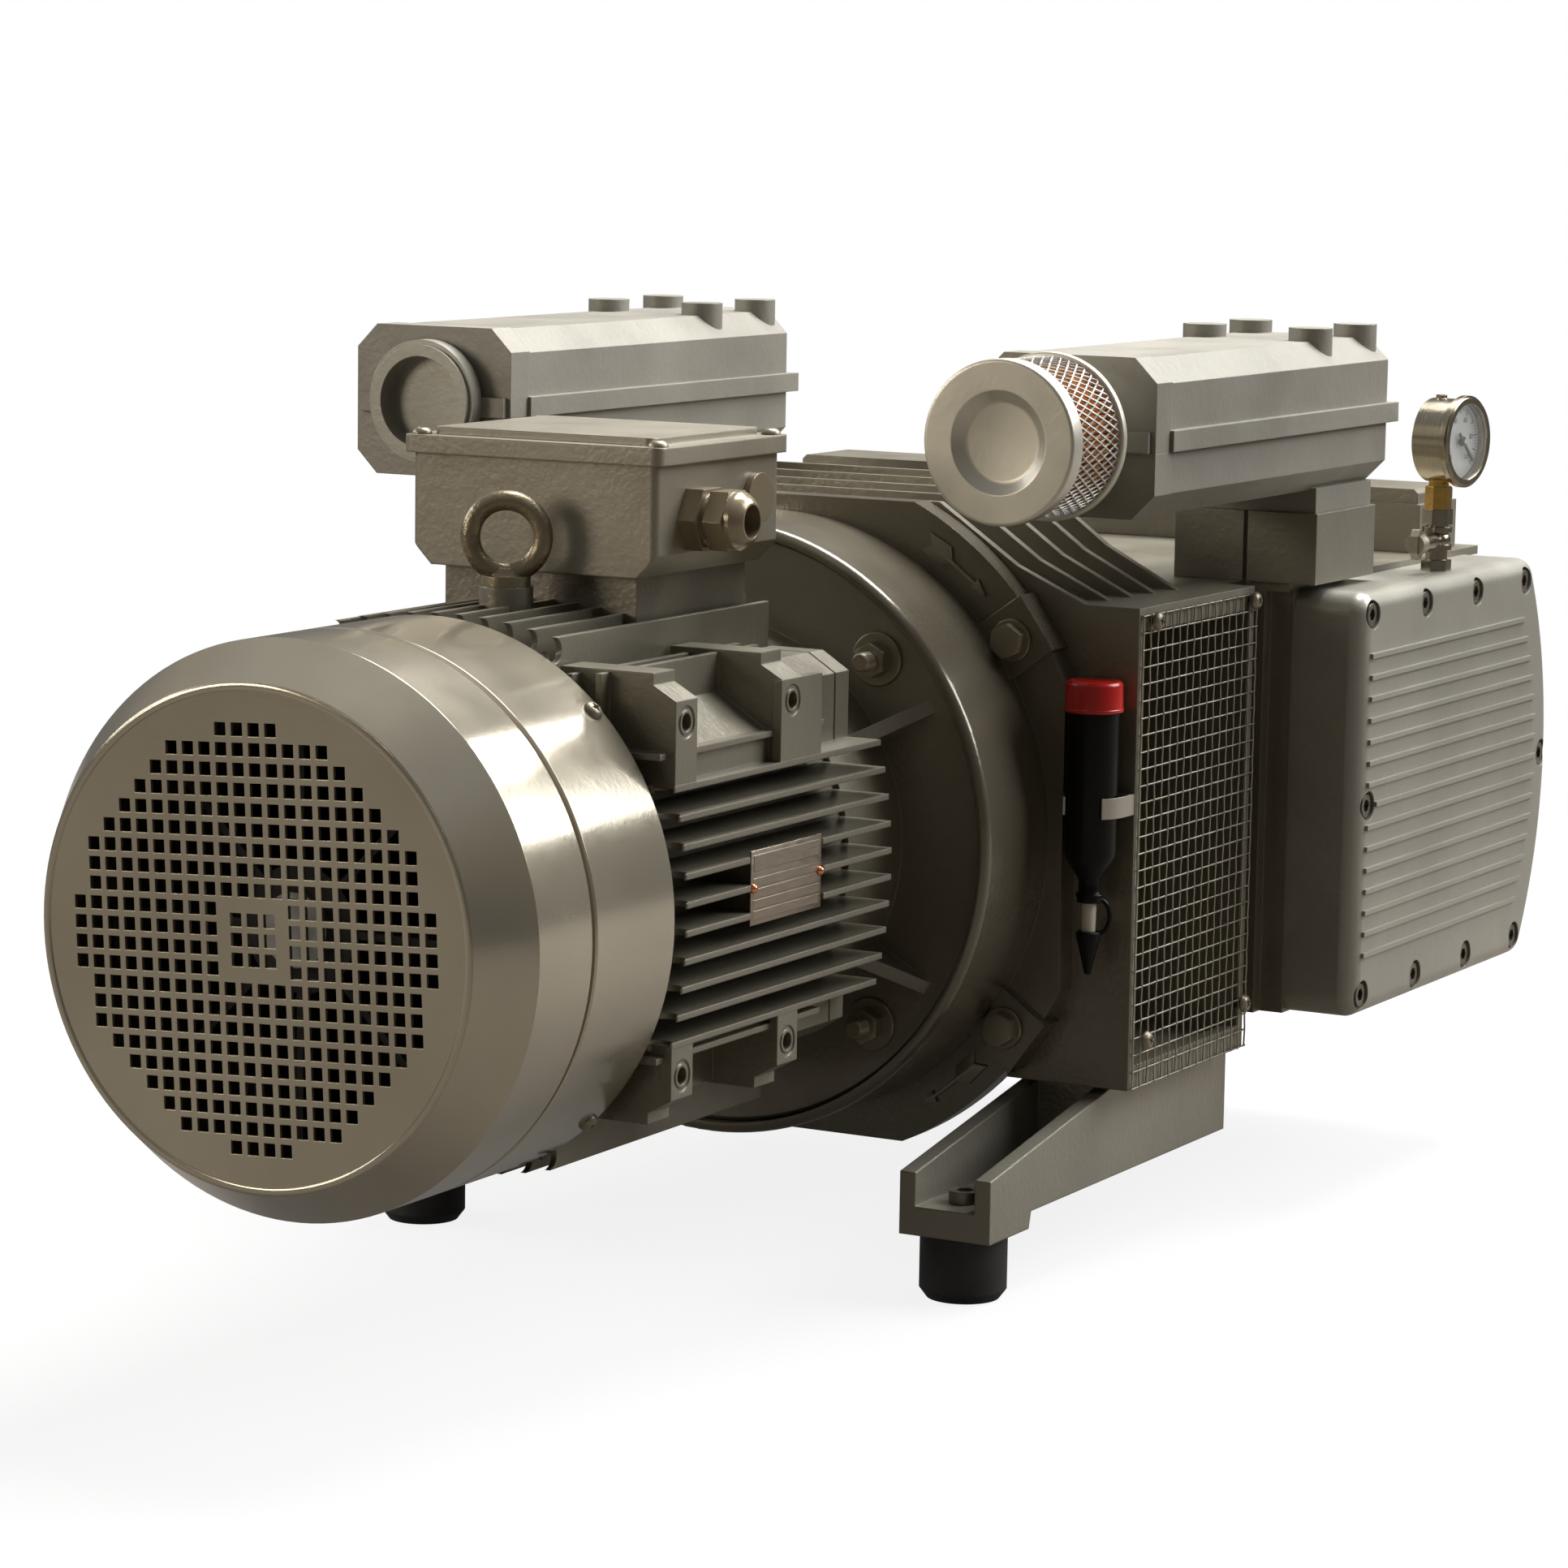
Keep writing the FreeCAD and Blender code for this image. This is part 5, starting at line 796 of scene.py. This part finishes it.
def addGrille(name, side, stands):
    piece = Piece(name)
    across = spaced(grille["x"], grille["uprights"])
    up = spaced(grille["z"], grille["crossings"])
    middle = (grille["face"] + grille["stand"]) * side
    sway = grille["sway"]
    for i, x in enumerate(across):
        points = [(x, middle + sway * (-1) ** (i + j), z) for j, z in enumerate(up)]
        piece.wire(withMiddles(points, 2), grille["wire"])
    for j, z in enumerate(up):
        points = [(x, middle - sway * (-1) ** (i + j), z) for i, x in enumerate(across)]
        piece.wire(withMiddles(points, 0), grille["wire"])
    piece.finish(finishes["wire_steel"], stands=stands, smooth=80)


# Wires spread evenly between two limits, the outer ones lying inside them
def spaced(limits, count):
    low, high = limits[0] + grille["wire"], limits[1] - grille["wire"]
    return [low + (high - low) * i / (count - 1) for i in range(count)]


# Each crossing becomes two points a little apart, so that the wire lies flat over it
def withMiddles(points, along):
    spread = []
    for point in points:
        for side in (-1, 1):
            moved = list(point)
            moved[along] += grille["flat"] * side
            spread.append(moved)
    spread[0][along] = points[0][along] - grille["over"]
    spread[-1][along] = points[-1][along] + grille["over"]
    return spread


addGrille("grilleNear", -1, ("side_grille_near",))
addGrille("grilleFar", 1, ("side_grille_far",))
print("grilles ready")


# Hexagon screws, nuts and washers

bolts = {
    "padAngles": (54, 126, -54, -126),  # from +Z towards -Y round the motor axis
    "padCircle": 139.2,
    "padFace": 33.0,
    "padWasher": 9.0,
    "padWasherHeight": 1.6,
    "padFlats": 13.0,
    "padHead": 5.5,
    "flangeAngles": (45, 135, 225, 315),
    "flangeCircle": 107.5,
    "flangeFace": -16.0,
    "flangeWasher": 11.2,
    "flangeWasherHeight": 2.0,
    "nutFlats": 13.0,
    "nutHeight": 6.8,
    "washerHole": 3.9,
    "washerEdge": 0.4,
    "studRadius": 4.0,
    "studEnd": 7.5,
    "studHidden": 30.0,
    "studPoint": 0.8,
    "threadStart": 1.0,
    "threadEnd": 9.0,
    "threadTurns": 9,
    "threadPitch": 0.8,
    "threadDepth": 0.45,
}


def addWasher(piece, at, height, outer):
    edge, hole = bolts["washerEdge"], bolts["washerHole"]
    profile = [(0, hole), (0, outer), (edge - height, outer), (-height, outer - edge), (-height, hole),
               (0, hole)]
    piece.lathe(profile, Matrix.Translation(at), 48)


def addStud(piece, end):
    radius, point, pitch = bolts["studRadius"], bolts["studPoint"], bolts["threadPitch"]
    profile = [(0, 0), (0, radius - point), (point, radius - 0.1)]
    for k in range(bolts["threadTurns"]):
        crest = bolts["threadStart"] + k * pitch
        profile += [(crest, radius), (crest + pitch / 2, radius - bolts["threadDepth"])]
    root = bolts["studEnd"] + bolts["nutHeight"] + bolts["studHidden"]
    profile += [(bolts["threadEnd"], radius), (root, radius)]
    piece.lathe(profile, Matrix.Translation(end), 32)


def addBolts():
    back = Matrix.Rotation(math.pi, 4, "Z")
    piece = Piece("padBolts")
    for angle in bolts["padAngles"]:
        turn = Matrix.Rotation(math.radians(angle), 4, "X")
        at = turn @ Vector((bolts["padFace"], 0, bolts["padCircle"]))
        addWasher(piece, at, bolts["padWasherHeight"], bolts["padWasher"])
        face = at - Vector((bolts["padWasherHeight"], 0, 0))
        piece.hexHead(bolts["padFlats"], bolts["padHead"], Matrix.Translation(face) @ back @ turn)
    piece.finish(boltPaint, stands=("adapter_bolts",))

    piece = Piece("flangeNuts")
    for angle in bolts["flangeAngles"]:
        turn = Matrix.Rotation(math.radians(angle), 4, "X")
        at = turn @ Vector((bolts["flangeFace"], 0, bolts["flangeCircle"]))
        addWasher(piece, at, bolts["flangeWasherHeight"], bolts["flangeWasher"])
        face = at - Vector((bolts["flangeWasherHeight"], 0, 0))
        piece.hexHead(bolts["nutFlats"], bolts["nutHeight"], Matrix.Translation(face) @ back)
        addStud(piece, face - Vector((bolts["nutHeight"] + bolts["studEnd"], 0, 0)))
    piece.finish(boltPaint, stands=("flange_fasteners",))


addBolts()
print("bolts ready")


# Pan head screws with a cross recess

panHeads = {
    "radius": 4.0,
    "height": 2.5,
    "slot": 2.0,
    "slotDepth": 1.5,
    "turn": 0.7,
    "coverX": -241.0,
    "coverRadius": 108.0,
    "coverAngles": (44, 136, 224, 316),
    "grilleX": (60.0, 161.0),
    "grilleZ": (91.0, -85.7),
    "grilleFace": 166.3,
    "lidX": (-159.0, -70.0),
    "lidY": 54.0,
    "lidTop": 170.0,
}


def addPanHeads():
    piece = Piece("panHeads")
    wide, tall = panHeads["radius"], panHeads["height"]
    slot, deep = panHeads["slot"], panHeads["slotDepth"]
    profile = [(-0.3, wide - 0.3, "round"), (0, wide, "round"), (0.5, wide, "round"),
               (1.3, wide - 0.35, "round"), (2.0, wide - 1.0, "round"), (tall, slot + 0.1, "round"),
               (tall, slot, "cross"), (tall - deep, slot * 0.5, "cross")]
    places = []
    for angle in panHeads["coverAngles"]:
        out = Matrix.Rotation(math.radians(angle), 4, "X") @ Vector((0, 0, 1))
        places.append((Vector((panHeads["coverX"], 0, 0)) + out * panHeads["coverRadius"], out))
    for x in panHeads["grilleX"]:
        for z in panHeads["grilleZ"]:
            for side in (-1, 1):
                places.append((Vector((x, panHeads["grilleFace"] * side, z)), Vector((0, side, 0))))
    for x in panHeads["lidX"]:
        for side in (-1, 1):
            places.append((Vector((x, panHeads["lidY"] * side, panHeads["lidTop"])), Vector((0, 0, 1))))
    for k, (at, out) in enumerate(places):
        piece.rings(profile, facing(at, out) @ Matrix.Rotation(panHeads["turn"] * k, 4, "X"), 32)
    piece.finish(boltPaint, stands=("pan_head_screws",))


addPanHeads()
print("pan heads ready")


# Gauge dial behind the glass

dial = {
    "at": (311.0, -190.0, 153.3),
    "turn": 8.0,
    "face": -9.3,
    "radius": 17.0,
    "start": 135.0,
    "span": 270.0,
    "large": 10,
    "small": 50,
    "sheet": 0.5,
    "tickIn": 1.2,
    "tickSheet": 0.08,
    "largeTick": (3.2, 0.28),
    "smallTick": (1.7, 0.12),
    "numberIn": 6.6,
    "numberSize": 3.4,
    "numberSheet": 0.04,
}


def addDial():
    gauge = Matrix.Translation(dial["at"]) @ Matrix.Rotation(math.radians(-dial["turn"]), 4, "Z")
    outward = gauge @ facing((0, 0, 0), (0, -1, 0))
    disc = Piece("dialPlate")
    depth, wide = -dial["face"], dial["radius"]
    back = depth - dial["sheet"]
    disc.lathe([(back, 0), (back, wide), (depth, wide), (depth, 0)], outward)
    disc.finish(dialWhite)
    marks = Piece("dialMarks")
    # Outward X, so that the dial's right is the local -Y
    for k in range(dial["small"] + 1):
        angle = math.radians(dial["start"] - dial["span"] * k / dial["small"])
        large = k % (dial["small"] // dial["large"]) == 0
        spoke = outward @ Matrix.Rotation(angle, 4, "X")
        reach = wide - dial["tickIn"]
        long, half = dial["largeTick"] if large else dial["smallTick"]
        marks.block((depth, -half, reach - long), (depth + dial["tickSheet"], half, reach), spoke)
    marks.finish(finishes["pointer_black"])
    numbers = Piece("dialNumbers")
    for k in range(0, dial["large"] + 1, 2):
        angle = math.radians(dial["start"] - dial["span"] * k / dial["large"])
        addNumber(numbers, str(k * 10), outward, angle, depth, wide - dial["numberIn"])
    numbers.finish(finishes["pointer_black"])


def addNumber(piece, text, outward, angle, depth, radius):
    data = bpy.data.curves.new("number", "FONT")
    data.body = text
    data.size = dial["numberSize"]
    data.align_x = "CENTER"
    data.align_y = "CENTER"
    data.extrude = dial["numberSheet"]
    holder = bpy.data.objects.new("number", data)
    bpy.context.scene.collection.objects.link(holder)
    bpy.context.view_layer.update()
    mesh = bpy.data.meshes.new_from_object(holder)
    bpy.data.objects.remove(holder)
    bpy.data.curves.remove(data)
    shape = bmesh.new()
    shape.from_mesh(mesh)
    bpy.data.meshes.remove(mesh)
    # Letters lie in XY; on the dial their X runs to the viewer's right and their Y up
    upright = Matrix(((0, 0, 1, depth + dial["numberSheet"]), (1, 0, 0, 0), (0, 1, 0, 0), (0, 0, 0, 1)))
    at = Matrix.Rotation(angle, 4, "X") @ Vector((0, 0, radius))
    piece.add(shape, outward @ Matrix.Translation(at) @ upright)


dialWhite = plastic("dialWhite", (0.46, 0.45, 0.42), roughness=0.5, grain=0.02, edge=0)
addDial()
print("dial ready")


# Bare rating plate with two copper rivets

plate = {
    "x": -148.0,
    "z": 5.0,
    "back": -106.5,
    "length": 56.0,
    "height": 29.0,
    "thickness": 0.8,
    "edge": 0.3,
    "margin": 2.0,
    "band": 6.0,
    "bandSheet": 0.15,
    "rows": 4,
    "rowStep": 4.2,
    "row": 3.5,
    "rowSheet": 0.1,
    "rivet": 1.9,
    "rivetIn": 1.5,
}


def addPlate():
    x, z = plate["x"], plate["z"]
    long, tall = plate["length"] / 2, plate["height"] / 2
    back = plate["back"]
    front = back - plate["thickness"]
    sheet = Piece("ratingPlate")
    sheet.block((x - long, front, z - tall), (x + long, back, z + tall), edge=plate["edge"])
    left, right = x - long + plate["margin"], x + long - plate["margin"]
    high = z + tall - plate["margin"]
    sheet.block((left, front - plate["bandSheet"], high - plate["band"]), (right, front, high))
    for row in range(plate["rows"]):
        low = z - tall + plate["margin"] + row * plate["rowStep"]
        sheet.block((left, front - plate["rowSheet"], low), (right, front, low + plate["row"]))
    sheet.finish(finishes["plate_metal"], stands=("nameplate",))
    rivets = Piece("plateRivets")
    radius = plate["rivet"]
    for side in (-1, 1):
        at = facing((x + (long - plate["rivetIn"]) * side, front, z), (0, -1, 0))
        rivets.lathe([(-0.5, 0), (0, radius)] + arc((0.1, 0), radius, 90, 0, 5), at, 24)
    rivets.finish(rivetCopper)


rivetCopper = metal("rivetCopper", (0.75, 0.28, 0.14), roughness=0.2, edge=0)
addPlate()
print("plate ready")


# Grease bottle's tip, strap and clip

bottle = {
    "at": (35.3, -150.0),
    "neckEnd": -23.0,
    "nozzle": 3.2,
    "tipTop": -37.2,
    "tipRadius": 5.1,
    "tipEnd": -55.4,
    "collar": 5.2,
    "collarHeight": 2.0,
    "strap": 1.0,
    "strapReach": 4.588,
    "strapSide": (0.484, -0.875),
    "strapSteps": 12,
    "clipZ": 15.5,
    "clipHeight": 8.6,
    "clipFarHeight": 7.6,
    "clipSheet": 1.0,
    "clipNear": ((27.0, -158.4), (29.6, -160.6), (33.4, -162.2), (38.5, -162.9), (43.0, -163.0),
                 (47.9, -163.0)),
    "clipFar": ((27.4, -141.2), (31.0, -138.2), (36.0, -137.2), (42.0, -138.6), (47.9, -141.0)),
    "clipBack": ((46.9, -163.5), (46.9, -137.0)),
    "radius": 10.7,
    "shoulder": -6.0,
    "neck": 4.6,
    "capLow": 54.7,
    "capTop": 67.7,
    "capRadius": 12.4,
}


def addBottle():
    x, y = bottle["at"]
    tip = Piece("bottleTip")
    wide = bottle["tipRadius"]
    top, end = bottle["tipTop"], bottle["tipEnd"]
    axis = facing((x, y, 0), (0, 0, 1))
    profile = [(end, 0), (end, 1.0), (end + 0.5, 1.4), (top - 4.2, wide - 0.4), (top - 3.6, wide)]
    profile += [(top - 0.6, wide), (top, wide - 0.6), (top, 0)]
    tip.lathe(profile, axis, 48)
    # The strap runs out beside the nozzle, from a collar under the neck to the tip
    neck, stem = bottle["neckEnd"], bottle["nozzle"]
    low, collar = neck - bottle["collarHeight"], bottle["collar"]
    tip.lathe([(low, stem), (low, collar), (neck, collar), (neck, stem)], axis, 40)
    points = []
    strap = bottle["strap"]
    for k in range(bottle["strapSteps"] + 1):
        turn = math.pi * k / bottle["strapSteps"]
        out = wide - strap + bottle["strapReach"] * math.sin(turn)
        level = neck - strap - (neck - top) * (1 - math.cos(turn)) / 2
        points.append((x + out * bottle["strapSide"][0], y + out * bottle["strapSide"][1], level))
    tip.wire(points, strap, 8)
    tip.finish(finishes["bottle_black"], stands=("bottle_tip",))
    nozzle = Piece("bottleNozzle")
    nozzle.lathe([(neck, 0), (neck, stem), (top, stem - 0.3), (top, 0)], axis, 40)
    nozzle.finish(nozzleClear)

    body = Piece("bottleBody")
    wide, slim = bottle["radius"], bottle["neck"]
    low, high = bottle["shoulder"], bottle["capLow"] - 0.05
    profile = [(neck, 0), (neck, 5.3)] + arc((neck + 1, 5.0), 0.8, 180, 0, 6)
    profile += [(neck + 2.4, slim), (low - 10.5, slim), (low - 9.6, slim + 0.15), (low - 8.4, slim + 0.7)]
    profile += [(low - 4.5, slim + 3.4), (low - 2.2, wide - 1.4), (low - 0.4, wide - 0.45), (low + 1.8, wide)]
    profile += [(high, wide), (high, 0)]
    body.lathe(profile, axis)
    body.finish(finishes["bottle_black"], stands=("grease_bottle",))
    cap = Piece("bottleCap")
    wide = bottle["capRadius"]
    low, high = bottle["capLow"], bottle["capTop"]
    profile = [(low, 0), (low, wide - 0.4), (low + 0.4, wide), (low + 1.4, wide), (low + 1.7, wide - 0.25)]
    profile += [(high - 2.6, wide - 0.45)] + arc((high - 2.2, wide - 2.65), 2.2, 90, 0, 6)[1:]
    profile += [(high - 0.25, wide - 4), (high - 0.5, wide - 5), (high - 0.5, 0)]
    cap.lathe(profile, axis)
    cap.finish(finishes["bottle_red"], stands=("bottle_cap",))

    clip = Piece("bottleClip")
    level, sheet = bottle["clipZ"], bottle["clipSheet"]
    clip.strip(bottle["clipNear"], level, bottle["clipHeight"], sheet)
    clip.strip(bottle["clipFar"], level, bottle["clipFarHeight"], sheet)
    clip.strip(bottle["clipBack"], level, bottle["clipHeight"], sheet)
    clip.finish(clipPaint, stands=("bottle_clip",))


nozzleClear = plastic("nozzleClear", (0.62, 0.58, 0.50), roughness=0.22, grain=0.02, edge=0)
clipPaint = paint("clipPaint", (0.38, 0.35, 0.30), roughness=0.36, metallic=0.6, grain=0.1, edge=0.2)
addBottle()
print("bottle ready")
